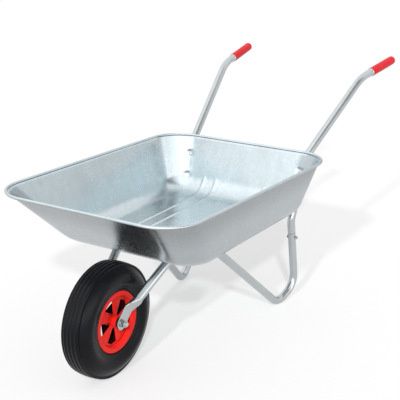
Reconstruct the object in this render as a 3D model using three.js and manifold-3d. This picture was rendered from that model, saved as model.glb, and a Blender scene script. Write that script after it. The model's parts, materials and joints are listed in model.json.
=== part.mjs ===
// Garden wheelbarrow: a pressed tray on bent steel tubes, with one spoked wheel and a pneumatic tyre.
// Millimetres. +X points forward to the wheel, +Y to the pusher's left and +Z up. While the pieces are
// made, x is measured from the middle of the tray; at the end the origin moves to the ground under the
// middle of the whole barrow.

import * as THREE from 'three';
import { mergeVertices } from 'three/addons/utils/BufferGeometryUtils.js';
import ManifoldModule from 'manifold-3d';

const wasm = await ManifoldModule();
wasm.setup();
const { Manifold, Mesh: SolidMesh } = wasm;

// ---- driving dimensions ----

const GAP = 0.3; // left between faces that touch on the real barrow

// Tray, measured at the centre line of its rim bead
const TRAY_LENGTH = 870;
const TRAY_FRONT_WIDTH = 607;
const TRAY_REAR_WIDTH = 612;
const RIM_FRONT_HEIGHT = 502.5;
const RIM_REAR_HEIGHT = 486.5;
const FLOOR_HEIGHT = 311; // underside of the sheet
const SHEET = 1;
const RIM_CORNER = 105;
const FLOOR_CORNER = 70;
const FRONT_WALL = { slope: 47, radius: 130 }; // degrees from upright, and the radius at its foot
const REAR_WALL = { slope: 17.4, radius: 75 };
const SIDE_WALL = { slope: 19, radius: 60 };
const BEAD_RADIUS = 4.3;
const BEAD_TO_WALL = 5; // from the bead's centre line in to the wall's outer face
const BEAD_TO_WALL_TOP = 4; // from the bead's centre line down to the top of the wall

// Pads pressed into the sheet where it is bolted to a tube
const PAD_DEPTH = 3.2;
const PAD_RADIUS = 9.5;
const PAD_FLARE = 3;

// Tubes
const TUBE_RADIUS = 12.5;
const TUBE_WALL = 1.5;

// Frame tubes: leg, foot, run under the floor and fork arm in one length of tube a side
const FOOT_FROM_REAR = 112; // from the tray's rear edge forward to the foot
const FOOT_HALF_TRACK = 185;
const HEEL_ANGLE = 26.7;
const HEEL_LENGTH = 97.5;
const HEEL_BEND = 58;
const TOE_BEND = 50;
const REAR_LEG_LEAN = 7.1;
const FRONT_LEG_ANGLE = 42;
const FLOOR_RUN_DIFFERENCE = 703; // how much shorter than the tray the run under its floor is
const FRAME_BEND = 60;
const LEG_JOINT_HEIGHT = 229;
const LEG_PLUG = 42; // length of the handle tube's thin end inside the leg
const LEG_BOLT_DROP = 15;
const FORK_STEP_START = 81; // distances from the axle at which the arm starts and ends its step
const FORK_STEP_END = 38;
const FORK_PLATE = 3.2;
const FORK_ANGLE = 45;
const FORK_TYRE_GAP = 9;

// Handle tubes
const HANDLE_BEND_DROP = 17.6; // from the rear rim down to the bend behind it
const HANDLE_ANGLE = 35.7;
const HANDLE_STRAIGHT = 362;
const GRIP_ANGLE = 8.5;
const GRIP_RUN = 215;
const HANDLE_HALF_SPREAD = { rim: 211, bend: 262.5, end: 286 };
const RIM_BEND = 60;
const GRIP_BEND = 150;

// Grips
const GRIP_LENGTH = 150;
const GRIP_WALL = 1.8;
const GRIP_END = 7; // radius of the rounded end
const GRIP_CAP = 4; // thickness of the closed end

// Fasteners
const M6 = { radius: 3, nut: 5, nutFlats: 10 };
const TRAY_BOLT = { ...M6, head: 7.5, headHeight: 2.6 };
const WALL_BOLT_DROPS = { upper: 64.5, lower: 132.5 };
const FLOOR_BOLT_SETBACK = 38; // from each end of the run under the floor
const LEG_BOLT = { ...M6, head: 6.6, headHeight: 4.2 };
const HOLE_CLEARANCE = 0.35;
const THREAD_SHOWN = 3;

// Wheel
const TYRE_TRAY_GAP = 14.353; // from the tread to the plane of the tray's front wall
const TYRE_RADIUS = 162.5;
const TYRE_WIDTH = 90;
const TREAD_WIDTH = 62;
const TREAD_DEPTH = 3;
const TREAD_GROOVES = 5;
const TYRE_WALL = 5;
const RIM_FLANGE_RADIUS = 87;
const RIM_FLANGE_WIDTH = 70.8;
const RIM_FLANGE = 3.6;
const RIM_SEAT_RADIUS = 78;
const RIM_WELL_RADIUS = 73;
const RIM_BARREL_RADIUS = 68.5;
const RIM_DISC_FACE = 25;
const RIM_DISC = 4;
const WINDOW_COUNT = 5;
const WINDOW_PHASE = -5.4;
const WINDOW_HALF_ANGLE = 18.5;
const WINDOW_INNER = 19;
const WINDOW_OUTER = 66;
const HUB_RADIUS = 16.5;
const HUB_HALF_LENGTH = 38;
const BUSH = { radius: 11, length: 22, flange: 14, flangeWidth: 2 };
const RUNNING_CLEARANCE = 0.2;
const TUBE_SKIN = 1.6;
const TUBE_CLEARANCE = 0.8; // inner tube to tyre
const VALVE = { radius: 4, length: 27, bore: 1.6, capRadius: 5.2, capLength: 10, capEnd: 2, window: 2 };

// Axle
const AXLE_RADIUS = 6;
const AXLE_FLATS = 19;
const AXLE_HEAD = 7.5;
const AXLE_NUT = 10;
const AXLE_WASHER = { radius: 12, height: 2 };
const AXLE_SPACER = { wall: 3.5, length: 6 };
const AXLE_TIP = 5.5;

// How finely round shapes are faceted
const TUBE_SIDES = 12;
const BOLT_SIDES = 12;
const PAD_SIDES = 14;
const FINE_SIDES = 24;
const WHEEL_SIDES = 40;
const INNER_TUBE_SIDES = WHEEL_SIDES / 2;
const CORNER_STEPS = 5;
const ARC_STEP = 17; // degrees of bend between two sections of a tube

// ---- helpers ----

const rad = THREE.MathUtils.degToRad;
const { lerp, smoothstep } = THREE.MathUtils;
const UP = new THREE.Vector3(0, 0, 1);
const LEFT = new THREE.Vector3(0, 1, 0);

const vec = (x, y, z) => new THREE.Vector3(x, y, z);
const along = (from, direction, distance) => from.clone().addScaledVector(direction, distance);
const heading = (from, to) => to.clone().sub(from).normalize();

// A closed body over a stack of rings with equal numbers of points. With loop, the last ring joins the
// first; otherwise the first and last rings are closed with a fan about their middle.
function ringBody(rings, loop = false) {
  const count = rings[0].length;
  const points = rings.flat();
  const faces = [];
  const last = loop ? rings.length : rings.length - 1;
  for (let i = 0; i < last; i++) {
    const low = i * count;
    const high = ((i + 1) % rings.length) * count;
    for (let j = 0; j < count; j++) {
      const k = (j + 1) % count;
      faces.push(low + j, low + k, high + k, low + j, high + k, high + j);
    }
  }
  if (!loop) {
    for (const [ring, first] of [[rings[0], 0], [rings.at(-1), (rings.length - 1) * count]]) {
      const middle = ring.reduce((sum, p) => sum.add(p), vec(0, 0, 0)).divideScalar(count);
      points.push(middle);
      for (let j = 0; j < count; j++) {
        const k = (j + 1) % count;
        if (first === 0) faces.push(points.length - 1, first + k, first + j);
        else faces.push(points.length - 1, first + j, first + k);
      }
    }
  }
  const geometry = new THREE.BufferGeometry().setFromPoints(points);
  geometry.setIndex(faces);
  return signedVolume(points, faces) < 0 ? flipped(geometry) : geometry;
}

function signedVolume(points, faces) {
  let sum = 0;
  for (let i = 0; i < faces.length; i += 3) {
    const [a, b, c] = [points[faces[i]], points[faces[i + 1]], points[faces[i + 2]]];
    sum += a.dot(b.clone().cross(c)) / 6;
  }
  return sum;
}

function flipped(geometry) {
  const index = Array.from(geometry.index.array);
  for (let i = 0; i < index.length; i += 3) [index[i], index[i + 1]] = [index[i + 1], index[i]];
  geometry.setIndex(index);
  return geometry;
}

function toSolid(geometry) {
  const bare = geometry.clone();
  for (const name of Object.keys(bare.attributes)) if (name !== 'position') bare.deleteAttribute(name);
  const merged = mergeVertices(bare, 1e-4);
  const vertProperties = new Float32Array(merged.attributes.position.array);
  const triVerts = new Uint32Array(merged.index.array);
  return new Manifold(new SolidMesh({ numProp: 3, vertProperties, triVerts }));
}

function toGeometry(solid) {
  const { vertProperties, triVerts } = solid.getMesh();
  const geometry = new THREE.BufferGeometry();
  geometry.setAttribute('position', new THREE.BufferAttribute(new Float32Array(vertProperties), 3));
  geometry.setIndex(new THREE.BufferAttribute(new Uint32Array(triVerts), 1));
  return geometry;
}

function joined(...geometries) {
  return toGeometry(Manifold.union(geometries.map(toSolid)));
}

function cut(geometry, ...tools) {
  return toGeometry(toSolid(geometry).subtract(Manifold.union(tools.map(toSolid))));
}

// A round bar or cone between two points
function bar(from, to, startRadius, endRadius = startRadius, sides = BOLT_SIDES) {
  const geometry = new THREE.CylinderGeometry(endRadius, startRadius, from.distanceTo(to), sides);
  geometry.applyQuaternion(new THREE.Quaternion().setFromUnitVectors(LEFT, heading(from, to)));
  return geometry.translate(...from.clone().lerp(to, 0.5));
}

// Turns a body made along +Z from z = 0 so that it starts at a point and runs along a direction
function aimed(geometry, start, direction) {
  geometry.applyQuaternion(new THREE.Quaternion().setFromUnitVectors(UP, direction));
  return geometry.translate(...start);
}

// A body of revolution about Y from [radius, y] pairs
function turned(profile, sides = WHEEL_SIDES) {
  const points = profile.map(([r, y]) => new THREE.Vector2(r, y));
  const geometry = new THREE.LatheGeometry(points, sides);
  const merged = mergeVertices(geometry.deleteAttribute('normal').deleteAttribute('uv'), 1e-4);
  const corners = [];
  const position = merged.attributes.position;
  for (let i = 0; i < position.count; i++) {
    corners.push(new THREE.Vector3().fromBufferAttribute(position, i));
  }
  return signedVolume(corners, Array.from(merged.index.array)) < 0 ? flipped(merged) : merged;
}

// A ring or a hexagon with a round hole, from z = 0 up
function pierced(outline, hole, height) {
  const shape = new THREE.Shape(outline);
  shape.holes.push(new THREE.Path(polygon(hole, BOLT_SIDES)));
  return new THREE.ExtrudeGeometry(shape, { depth: height, bevelEnabled: false });
}

function polygon(radius, sides) {
  const step = (2 * Math.PI) / sides;
  return Array.from({ length: sides }, (_, i) => {
    return new THREE.Vector2(radius * Math.cos(i * step), radius * Math.sin(i * step));
  });
}

const hexagon = (flats) => polygon(flats / Math.sqrt(3), 6);
const nut = (flats, hole, height) => pierced(hexagon(flats), hole, height);
const washer = (radius, hole, height) => pierced(polygon(radius, 20), hole, height);

// ---- bent tubes ----

// Sections along straight lines joined by round bends: bends[i] is the radius at vertex i + 1
function bentPath(vertices, bends) {
  const stations = [{ point: vertices[0], tangent: heading(vertices[0], vertices[1]) }];
  for (let i = 1; i < vertices.length - 1; i++) {
    const before = heading(vertices[i - 1], vertices[i]);
    const after = heading(vertices[i], vertices[i + 1]);
    const turn = before.angleTo(after);
    const radius = bends[i - 1];
    const start = along(vertices[i], before, -radius * Math.tan(turn / 2));
    const inward = after.clone().addScaledVector(before, -after.dot(before)).normalize();
    const steps = Math.max(2, Math.ceil(turn / rad(ARC_STEP)));
    for (let s = 0; s <= steps; s++) {
      const angle = (turn * s) / steps;
      const point = along(along(start, before, radius * Math.sin(angle)), inward,
        radius * (1 - Math.cos(angle)));
      const tangent = along(before.clone().multiplyScalar(Math.cos(angle)), inward, Math.sin(angle));
      stations.push({ point, tangent });
    }
  }
  stations.push({ point: vertices.at(-1), tangent: heading(vertices.at(-2), vertices.at(-1)) });
  return stations;
}

// One section of a tube: thick is its half size across the barrow, wide its half size in the plane of
// the bends, and flatness above 1 squeezes the round section towards a flat bar.
function section({ point, tangent }, thick, wide = thick, flatness = 1) {
  const across = LEFT.clone().addScaledVector(tangent, -LEFT.dot(tangent)).normalize();
  const inPlane = tangent.clone().cross(across);
  return Array.from({ length: TUBE_SIDES }, (_, i) => {
    const angle = (2 * Math.PI * i) / TUBE_SIDES;
    const share = THREE.MathUtils.clamp(flatness * Math.cos(angle), -1, 1);
    return along(along(point, across, thick * share), inPlane, wide * Math.sin(angle));
  });
}

// ---- tray ----

const TRAY_HALF_LENGTH = TRAY_LENGTH / 2;
const CORNERS = [
  { x: 1, y: 1, wall: FRONT_WALL, rim: RIM_FRONT_HEIGHT, halfWidth: TRAY_FRONT_WIDTH / 2 },
  { x: -1, y: 1, wall: REAR_WALL, rim: RIM_REAR_HEIGHT, halfWidth: TRAY_REAR_WIDTH / 2 },
  { x: -1, y: -1, wall: REAR_WALL, rim: RIM_REAR_HEIGHT, halfWidth: TRAY_REAR_WIDTH / 2 },
  { x: 1, y: -1, wall: FRONT_WALL, rim: RIM_FRONT_HEIGHT, halfWidth: TRAY_FRONT_WIDTH / 2 },
];

// The outer face of one wall: depth 0 is its top, 1 the end of its straight part and 2 the floor
function wallAt(wall, rimHeight, depth) {
  const slope = rad(wall.slope);
  const top = rimHeight - BEAD_TO_WALL_TOP;
  const straight = top - FLOOR_HEIGHT - wall.radius * (1 - Math.sin(slope));
  const down = Math.min(depth, 1);
  const lean = lerp(slope, Math.PI / 2, Math.max(depth - 1, 0));
  const rounded = wall.radius * (Math.cos(slope) - Math.cos(lean));
  return {
    inset: BEAD_TO_WALL + down * straight * Math.tan(slope) + rounded,
    height: FLOOR_HEIGHT + (1 - down) * straight + wall.radius * (1 - Math.sin(lean)),
    lean,
  };
}

function cornerAngles(index) {
  return Array.from({ length: CORNER_STEPS + 1 }, (_, i) => (index + i / CORNER_STEPS) * (Math.PI / 2));
}

// The outline of the tray at one depth, moved inwards by the sheet's thickness if inset is set
function trayRing(depth, inset = 0) {
  return CORNERS.flatMap((corner, index) => {
    const end = wallAt(corner.wall, corner.rim, depth);
    const side = wallAt(SIDE_WALL, corner.rim, depth);
    const radius = lerp(RIM_CORNER, FLOOR_CORNER, (corner.rim - end.height) / (corner.rim - FLOOR_HEIGHT));
    const centre = vec(corner.x * (TRAY_HALF_LENGTH - end.inset - radius),
      corner.y * (corner.halfWidth - side.inset - radius), 0);
    return cornerAngles(index).map((angle) => {
      const share = Math.sin(angle) ** 2;
      const lean = lerp(end.lean, side.lean, share);
      const out = vec(Math.cos(angle), Math.sin(angle), 0);
      const point = along(centre, out, radius).setZ(lerp(end.height, side.height, share));
      return along(along(point, out, -inset * Math.cos(lean)), UP, inset * Math.sin(lean));
    });
  });
}

const DEPTHS = [2, 1.8, 1.6, 1.4, 1.2, 1, 0];

// The tray's outline through one point of the rim bead, out from and up from the bead's centre line
function beadRing(out, up) {
  return CORNERS.flatMap((corner, index) => {
    const centre = vec(corner.x * (TRAY_HALF_LENGTH - RIM_CORNER),
      corner.y * (corner.halfWidth - RIM_CORNER), corner.rim + up);
    return cornerAngles(index).map((angle) => {
      return along(centre, vec(Math.cos(angle), Math.sin(angle), 0), RIM_CORNER + out);
    });
  });
}

// The sheet: up the outer face, round the rolled edge, which curls out, over and back under itself,
// and down the inner face
function traySheet() {
  const curl = [215, 152, 89, 26, -37, -100].map(rad);
  const round = (radius) => (angle) => beadRing(radius * Math.cos(angle), radius * Math.sin(angle));
  return ringBody([
    ...DEPTHS.map((depth) => trayRing(depth)),
    ...curl.map(round(BEAD_RADIUS - SHEET)),
    ...curl.map(round(BEAD_RADIUS)).reverse(),
    ...DEPTHS.map((depth) => trayRing(depth, SHEET)).reverse(),
  ]);
}

// Pads stand out of the sheet by PAD_DEPTH to meet a tube: seat is the middle of the pad's outer face
// and inward points from it into the tray.
function pad(seat, inward, inset) {
  const reach = PAD_DEPTH + BEAD_RADIUS + PAD_FLARE;
  const radius = PAD_RADIUS - inset;
  const start = along(seat, inward, inset);
  return bar(start, along(start, inward, reach), radius, radius + PAD_FLARE, PAD_SIDES);
}

function tray(seats) {
  // The pads end inside the thickness of the sheet
  const hollow = ringBody(DEPTHS.map((depth) => trayRing(depth, SHEET * 0.8)));
  const pads = seats.map(({ seat, inward }) => cut(pad(seat, inward, 0), hollow));
  const dents = seats.map(({ seat, inward }) => pad(seat, inward, SHEET));
  const holes = seats.map(({ seat, inward }) => {
    return bar(along(seat, inward, -1), along(seat, inward, SHEET + 1), TRAY_BOLT.radius + HOLE_CLEARANCE);
  });
  return cut(joined(traySheet(), ...pads), ...dents, ...holes);
}

// ---- layout of the frame ----

// The gap between the tyre and the tray's front wall sets where the axle is, to a hundredth of a millimetre
function axleX() {
  const slope = rad(FRONT_WALL.slope);
  const below = RIM_FRONT_HEIGHT - BEAD_TO_WALL_TOP - TYRE_RADIUS;
  const beyondWall = (TYRE_RADIUS + TYRE_TRAY_GAP - below * Math.sin(slope)) / Math.cos(slope);
  return Math.round(100 * (TRAY_HALF_LENGTH - BEAD_TO_WALL + beyondWall)) / 100;
}

const AXLE = vec(axleX(), 0, TYRE_RADIUS);
const TUBE_BORE = TUBE_RADIUS - TUBE_WALL;
const FORK_HALF_GAP = TYRE_WIDTH / 2 + FORK_TYRE_GAP + TUBE_RADIUS;
const FORK_DIRECTION = vec(Math.cos(rad(FORK_ANGLE)), 0, -Math.sin(rad(FORK_ANGLE)));
const SPACER_START = HUB_HALF_LENGTH + BUSH.flangeWidth + 2 * GAP;
const SPACER_END = SPACER_START + AXLE_SPACER.length;
const PLATE_Y = SPACER_END + GAP + FORK_PLATE / 2;
const FORK_STEP = along(AXLE, FORK_DIRECTION, -FORK_STEP_START).setY(FORK_HALF_GAP);

// Seen from above each frame tube is straight, from its foot to the start of the step in its fork arm
const FOOT = vec(FOOT_FROM_REAR - TRAY_HALF_LENGTH, FOOT_HALF_TRACK, 0);
const FRAME_FORWARD = heading(FOOT, FORK_STEP.clone().setZ(0));
const framePoint = (distance, height) => along(FOOT, FRAME_FORWARD, distance).setZ(height);

const RUN_HEIGHT = FLOOR_HEIGHT - PAD_DEPTH - GAP - TUBE_RADIUS;
const FLOOR_RUN = TRAY_LENGTH - FLOOR_RUN_DIFFERENCE;

function frameVertices() {
  const heel = rad(HEEL_ANGLE);
  const front = rad(FRONT_LEG_ANGLE);
  const lift = Math.cos((front - heel) / 2) / Math.cos((front + heel) / 2);
  const toeHeight = TUBE_RADIUS + TOE_BEND * (1 - lift); // the bend itself then rests on the ground
  const heelHeight = toeHeight + HEEL_LENGTH * Math.sin(heel);
  const heelBack = -HEEL_LENGTH * Math.cos(heel);
  const legRise = LEG_JOINT_HEIGHT - heelHeight;
  const runStart = (RUN_HEIGHT - toeHeight) / Math.tan(front);
  return [
    framePoint(heelBack + legRise * Math.tan(rad(REAR_LEG_LEAN)), LEG_JOINT_HEIGHT),
    framePoint(heelBack, heelHeight),
    framePoint(0, toeHeight),
    framePoint(runStart, RUN_HEIGHT),
    framePoint(runStart + FLOOR_RUN, RUN_HEIGHT),
    FORK_STEP,
  ];
}

const FRAME = frameVertices();
const [LEG_TOP, HEEL, , RUN_START, RUN_END] = FRAME;
const LEG_UP = heading(HEEL, LEG_TOP);

// The handle tube lies along the rear wall, on pads, and then runs down into the leg
const WALL_LEAN = rad(REAR_WALL.slope);
const WALL_INWARD = vec(Math.cos(WALL_LEAN), 0, Math.sin(WALL_LEAN));
const WALL_STANDOFF = PAD_DEPTH + GAP + TUBE_RADIUS;

// Where the middle of the tube behind the rear wall is at a height
function behindWall(height, y) {
  const face = -TRAY_HALF_LENGTH + BEAD_TO_WALL
    + (RIM_REAR_HEIGHT - BEAD_TO_WALL_TOP - height) * Math.tan(WALL_LEAN);
  return vec(face - WALL_STANDOFF / Math.cos(WALL_LEAN), y, height);
}

function handleVertices() {
  const rimBend = behindWall(RIM_REAR_HEIGHT - HANDLE_BEND_DROP, HANDLE_HALF_SPREAD.rim);
  const legRun = LEG_UP.x / LEG_UP.z;
  const atJoint = behindWall(LEG_JOINT_HEIGHT, 0).x;
  const rise = (LEG_TOP.x - atJoint) / (-Math.tan(WALL_LEAN) - legRun);
  const legBend = along(LEG_TOP, LEG_UP, rise / LEG_UP.z);
  const upperBend = vec(rimBend.x - HANDLE_STRAIGHT * Math.cos(rad(HANDLE_ANGLE)), HANDLE_HALF_SPREAD.bend,
    rimBend.z + HANDLE_STRAIGHT * Math.sin(rad(HANDLE_ANGLE)));
  const end = vec(upperBend.x - GRIP_RUN * Math.cos(rad(GRIP_ANGLE)), HANDLE_HALF_SPREAD.end,
    upperBend.z + GRIP_RUN * Math.sin(rad(GRIP_ANGLE)));
  return [end, upperBend, rimBend, legBend, along(LEG_TOP, LEG_UP, GAP)];
}

const HANDLE = handleVertices();
const [HANDLE_END, UPPER_BEND, RIM_BEND_POINT, LEG_BEND_POINT] = HANDLE;

function onWallRun(drop) {
  const height = RIM_REAR_HEIGHT - drop;
  const share = (height - RIM_BEND_POINT.z) / (LEG_BEND_POINT.z - RIM_BEND_POINT.z);
  return RIM_BEND_POINT.clone().lerp(LEG_BEND_POINT, share);
}

// Each tray bolt: where its axis crosses the middle of its tube, and the way into the tray
const TRAY_BOLTS = {
  upper_wall: { middle: onWallRun(WALL_BOLT_DROPS.upper), inward: WALL_INWARD },
  lower_wall: { middle: onWallRun(WALL_BOLT_DROPS.lower), inward: WALL_INWARD },
  rear_floor: { middle: along(RUN_START, FRAME_FORWARD, FLOOR_BOLT_SETBACK), inward: UP },
  front_floor: { middle: along(RUN_START, FRAME_FORWARD, FLOOR_RUN - FLOOR_BOLT_SETBACK), inward: UP },
};

const mirrored = (point) => vec(point.x, -point.y, point.z);
const onSide = (side, point) => (side > 0 ? point.clone() : mirrored(point));

function traySeats() {
  return [1, -1].flatMap((side) => Object.values(TRAY_BOLTS).map(({ middle, inward }) => {
    return { seat: along(onSide(side, middle), inward, TUBE_RADIUS + GAP), inward };
  }));
}

// ---- tubes and grips ----

function boltHoles(side, names) {
  return names.map((name) => {
    const { middle, inward } = TRAY_BOLTS[name];
    const centre = onSide(side, middle);
    const reach = TUBE_RADIUS + 2;
    return bar(along(centre, inward, -reach), along(centre, inward, reach),
      TRAY_BOLT.radius + HOLE_CLEARANCE);
  });
}

const LEG_BOLT_CENTRE = along(LEG_TOP, LEG_UP, -LEG_BOLT_DROP);

function legBoltHole(side) {
  const centre = onSide(side, LEG_BOLT_CENTRE);
  const reach = TUBE_RADIUS + 2;
  return bar(along(centre, LEFT, -reach), along(centre, LEFT, reach), LEG_BOLT.radius + HOLE_CLEARANCE);
}

// The fork arm past its last bend: it steps in towards the hub while it is pressed flat
function forkEndSections() {
  const flatHalfWidth = (Math.PI * (TUBE_RADIUS - TUBE_WALL / 2)) / 2 + TUBE_WALL / 2;
  const place = (distance, y) => along(AXLE, FORK_DIRECTION, -distance).setY(y);
  const armDirection = heading(RUN_END, FORK_STEP);
  const steps = 5;
  const sections = [];
  for (let i = 0; i <= steps; i++) {
    const share = smoothstep(i, 0, steps);
    const distance = lerp(FORK_STEP_START, FORK_STEP_END, i / steps);
    const tangent = i === 0 ? armDirection.clone().add(FORK_DIRECTION).normalize() : FORK_DIRECTION;
    sections.push({
      station: { point: place(distance, lerp(FORK_HALF_GAP, PLATE_Y, share)), tangent },
      thick: lerp(TUBE_RADIUS, FORK_PLATE / 2, share),
      wide: lerp(TUBE_RADIUS, flatHalfWidth, share),
      flatness: lerp(1, 4, share),
    });
  }
  for (const angle of [0, 32, 56, 78]) {
    sections.push({
      station: { point: place(-flatHalfWidth * Math.sin(rad(angle)), PLATE_Y), tangent: FORK_DIRECTION },
      thick: FORK_PLATE / 2,
      wide: flatHalfWidth * Math.cos(rad(angle)),
      flatness: 4,
    });
  }
  return sections;
}

function frameTube(side) {
  const run = bentPath(FRAME, [HEEL_BEND, TOE_BEND, FRAME_BEND, FRAME_BEND]).slice(0, -1);
  const end = forkEndSections();
  const hollow = end.filter(({ thick }) => thick > 2 * TUBE_WALL);
  const outer = [
    ...run.map((station) => section(station, TUBE_RADIUS)),
    ...end.map(({ station, thick, wide, flatness }) => section(station, thick, wide, flatness)),
  ];
  const inner = [
    ...run.map((station) => section(station, TUBE_BORE)),
    ...hollow.map(({ station, thick, wide, flatness }) => {
      return section(station, thick - TUBE_WALL, wide - TUBE_WALL, flatness);
    }),
  ];
  const rings = [...inner.reverse(), ...outer].map((ring) => ring.map((point) => onSide(side, point)));
  const centre = onSide(side, AXLE.clone().setY(PLATE_Y));
  const axleHole = bar(along(centre, LEFT, -FORK_PLATE), along(centre, LEFT, FORK_PLATE),
    AXLE_RADIUS + HOLE_CLEARANCE);
  const floorHoles = boltHoles(side, ['rear_floor', 'front_floor']);
  return cut(ringBody(rings), axleHole, legBoltHole(side), ...floorHoles);
}

function handleTube(side) {
  const run = bentPath(HANDLE, [GRIP_BEND, RIM_BEND, RIM_BEND]);
  const plugRadius = TUBE_BORE - GAP;
  const shoulder = run.at(-1);
  const plugEnd = { point: along(shoulder.point, LEG_UP, -LEG_PLUG), tangent: shoulder.tangent };
  const plugStart = { point: along(shoulder.point, LEG_UP, TUBE_WALL), tangent: shoulder.tangent };
  const outer = [...run.map((station) => section(station, TUBE_RADIUS)),
    section(shoulder, plugRadius), section(plugEnd, plugRadius)];
  const inner = [...run.slice(0, -1).map((station) => section(station, TUBE_BORE)),
    section(plugStart, TUBE_BORE), section(plugStart, plugRadius - TUBE_WALL),
    section(plugEnd, plugRadius - TUBE_WALL)];
  const rings = [...outer, ...inner.reverse()].map((ring) => ring.map((point) => onSide(side, point)));
  return cut(ringBody(rings, true), legBoltHole(side), ...boltHoles(side, ['upper_wall', 'lower_wall']));
}

function grip(side) {
  const bore = TUBE_RADIUS + GAP;
  const outer = TUBE_RADIUS + GRIP_WALL;
  const profile = [[bore, 0], [outer - 0.6, 0], [outer, 1.5]];
  for (const angle of [0, 30, 60, 85]) {
    const start = GRIP_LENGTH - GRIP_END;
    profile.push([outer - GRIP_END + GRIP_END * Math.cos(rad(angle)),
      start + GRIP_END * Math.sin(rad(angle))]);
  }
  const tubeEnd = GRIP_LENGTH - GRIP_CAP;
  profile.push([0, GRIP_LENGTH], [0, tubeEnd + GAP], [bore, tubeEnd + GAP], [bore, 0]);
  const back = heading(onSide(side, UPPER_BEND), onSide(side, HANDLE_END));
  const mouth = along(onSide(side, HANDLE_END), back, -tubeEnd);
  return aimed(turned(profile, FINE_SIDES).rotateX(Math.PI / 2), mouth, back);
}

// ---- fasteners ----

// A cup-headed bolt from the head's seat down against its own direction: towards points to the head
function cupBolt(size, seat, towards, length) {
  const shank = bar(along(seat, towards, -length), along(seat, towards, size.headHeight / 2), size.radius);
  const profile = [[0, 0], [size.head, 0]];
  for (const angle of [25, 50, 72]) {
    profile.push([size.head * Math.cos(rad(angle)), size.headHeight * Math.sin(rad(angle))]);
  }
  profile.push([0, size.headHeight]);
  const head = aimed(turned(profile, BOLT_SIDES).rotateX(Math.PI / 2), seat, towards);
  return joined(shank, head);
}

function trayBolt(side, name) {
  const { middle, inward } = TRAY_BOLTS[name];
  const seat = along(onSide(side, middle), inward, TUBE_RADIUS + SHEET + 2 * GAP);
  const length = 2 * TUBE_RADIUS + SHEET + 3 * GAP + TRAY_BOLT.nut + THREAD_SHOWN;
  return cupBolt(TRAY_BOLT, seat, inward, length);
}

function trayNut(side, name) {
  const { middle, inward } = TRAY_BOLTS[name];
  const out = inward.clone().negate();
  const body = nut(TRAY_BOLT.nutFlats, TRAY_BOLT.radius + HOLE_CLEARANCE, TRAY_BOLT.nut);
  return aimed(body, along(onSide(side, middle), out, TUBE_RADIUS + GAP), out);
}

function legBolt(side) {
  const inward = vec(0, -side, 0);
  const seat = along(onSide(side, LEG_BOLT_CENTRE), inward, TUBE_RADIUS + GAP);
  const length = 2 * TUBE_RADIUS + 2 * GAP + LEG_BOLT.nut + THREAD_SHOWN;
  return cupBolt(LEG_BOLT, seat, inward, length);
}

function legNut(side) {
  const outward = vec(0, side, 0);
  const body = nut(LEG_BOLT.nutFlats, LEG_BOLT.radius + HOLE_CLEARANCE, LEG_BOLT.nut);
  return aimed(body, along(onSide(side, LEG_BOLT_CENTRE), outward, TUBE_RADIUS + GAP), outward);
}

// ---- axle ----

const PLATE_OUTER = PLATE_Y + FORK_PLATE / 2;
const WASHER_OUTER = PLATE_OUTER + GAP + AXLE_WASHER.height;
const NUT_OUTER = WASHER_OUTER + GAP + AXLE_NUT;

function axleBolt() {
  const right = AXLE.clone().setY(-WASHER_OUTER - GAP);
  const head = new THREE.ExtrudeGeometry(new THREE.Shape(hexagon(AXLE_FLATS)),
    { depth: AXLE_HEAD, bevelEnabled: false });
  const shank = bar(right.clone().setY(right.y - AXLE_HEAD / 2), AXLE.clone().setY(NUT_OUTER + AXLE_TIP),
    AXLE_RADIUS, AXLE_RADIUS, FINE_SIDES);
  return joined(aimed(head, right, vec(0, -1, 0)), shank);
}

function axleNut() {
  const body = nut(AXLE_FLATS, AXLE_RADIUS + HOLE_CLEARANCE, AXLE_NUT);
  return aimed(body, AXLE.clone().setY(WASHER_OUTER + GAP), LEFT);
}

function axleWasher(side) {
  const body = washer(AXLE_WASHER.radius, AXLE_RADIUS + HOLE_CLEARANCE, AXLE_WASHER.height);
  return aimed(body, AXLE.clone().setY(side * (PLATE_OUTER + GAP)), vec(0, side, 0));
}

function axleSpacer(side) {
  const body = washer(AXLE_RADIUS + AXLE_SPACER.wall, AXLE_RADIUS + HOLE_CLEARANCE, AXLE_SPACER.length);
  return aimed(body, AXLE.clone().setY(side * SPACER_START), vec(0, side, 0));
}

// ---- wheel, made about the origin and then set on the axle ----

const onAxle = (geometry) => geometry.translate(AXLE.x, AXLE.y, AXLE.z);
const FLANGE_Y = RIM_FLANGE_WIDTH / 2;

function wheelBush(side) {
  const bore = AXLE_RADIUS + RUNNING_CLEARANCE;
  const face = HUB_HALF_LENGTH + GAP;
  const profile = [[bore, face - BUSH.length], [BUSH.radius, face - BUSH.length], [BUSH.radius, face],
    [BUSH.flange, face], [BUSH.flange, face + BUSH.flangeWidth], [bore, face + BUSH.flangeWidth]];
  const loop = [...profile, profile[0]].map(([r, y]) => [r, side * y]);
  return onAxle(turned(loop, FINE_SIDES));
}

function windowCutter(index) {
  const middle = rad(WINDOW_PHASE + (360 * index) / WINDOW_COUNT);
  const half = rad(WINDOW_HALF_ANGLE);
  const shape = new THREE.Shape();
  const innerHalf = half * 0.75;
  const at = (radius, angle) => [radius * Math.cos(angle), radius * Math.sin(angle)];
  shape.moveTo(...at(WINDOW_INNER, middle - innerHalf));
  const steps = 5;
  for (let i = 0; i <= steps; i++) {
    shape.lineTo(...at(WINDOW_OUTER, middle - half + (2 * half * i) / steps));
  }
  shape.lineTo(...at(WINDOW_INNER, middle + innerHalf));
  const body = new THREE.ExtrudeGeometry(shape, { depth: 2 * FLANGE_Y, bevelEnabled: false });
  return body.translate(0, 0, -FLANGE_Y).rotateX(Math.PI / 2);
}

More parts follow.
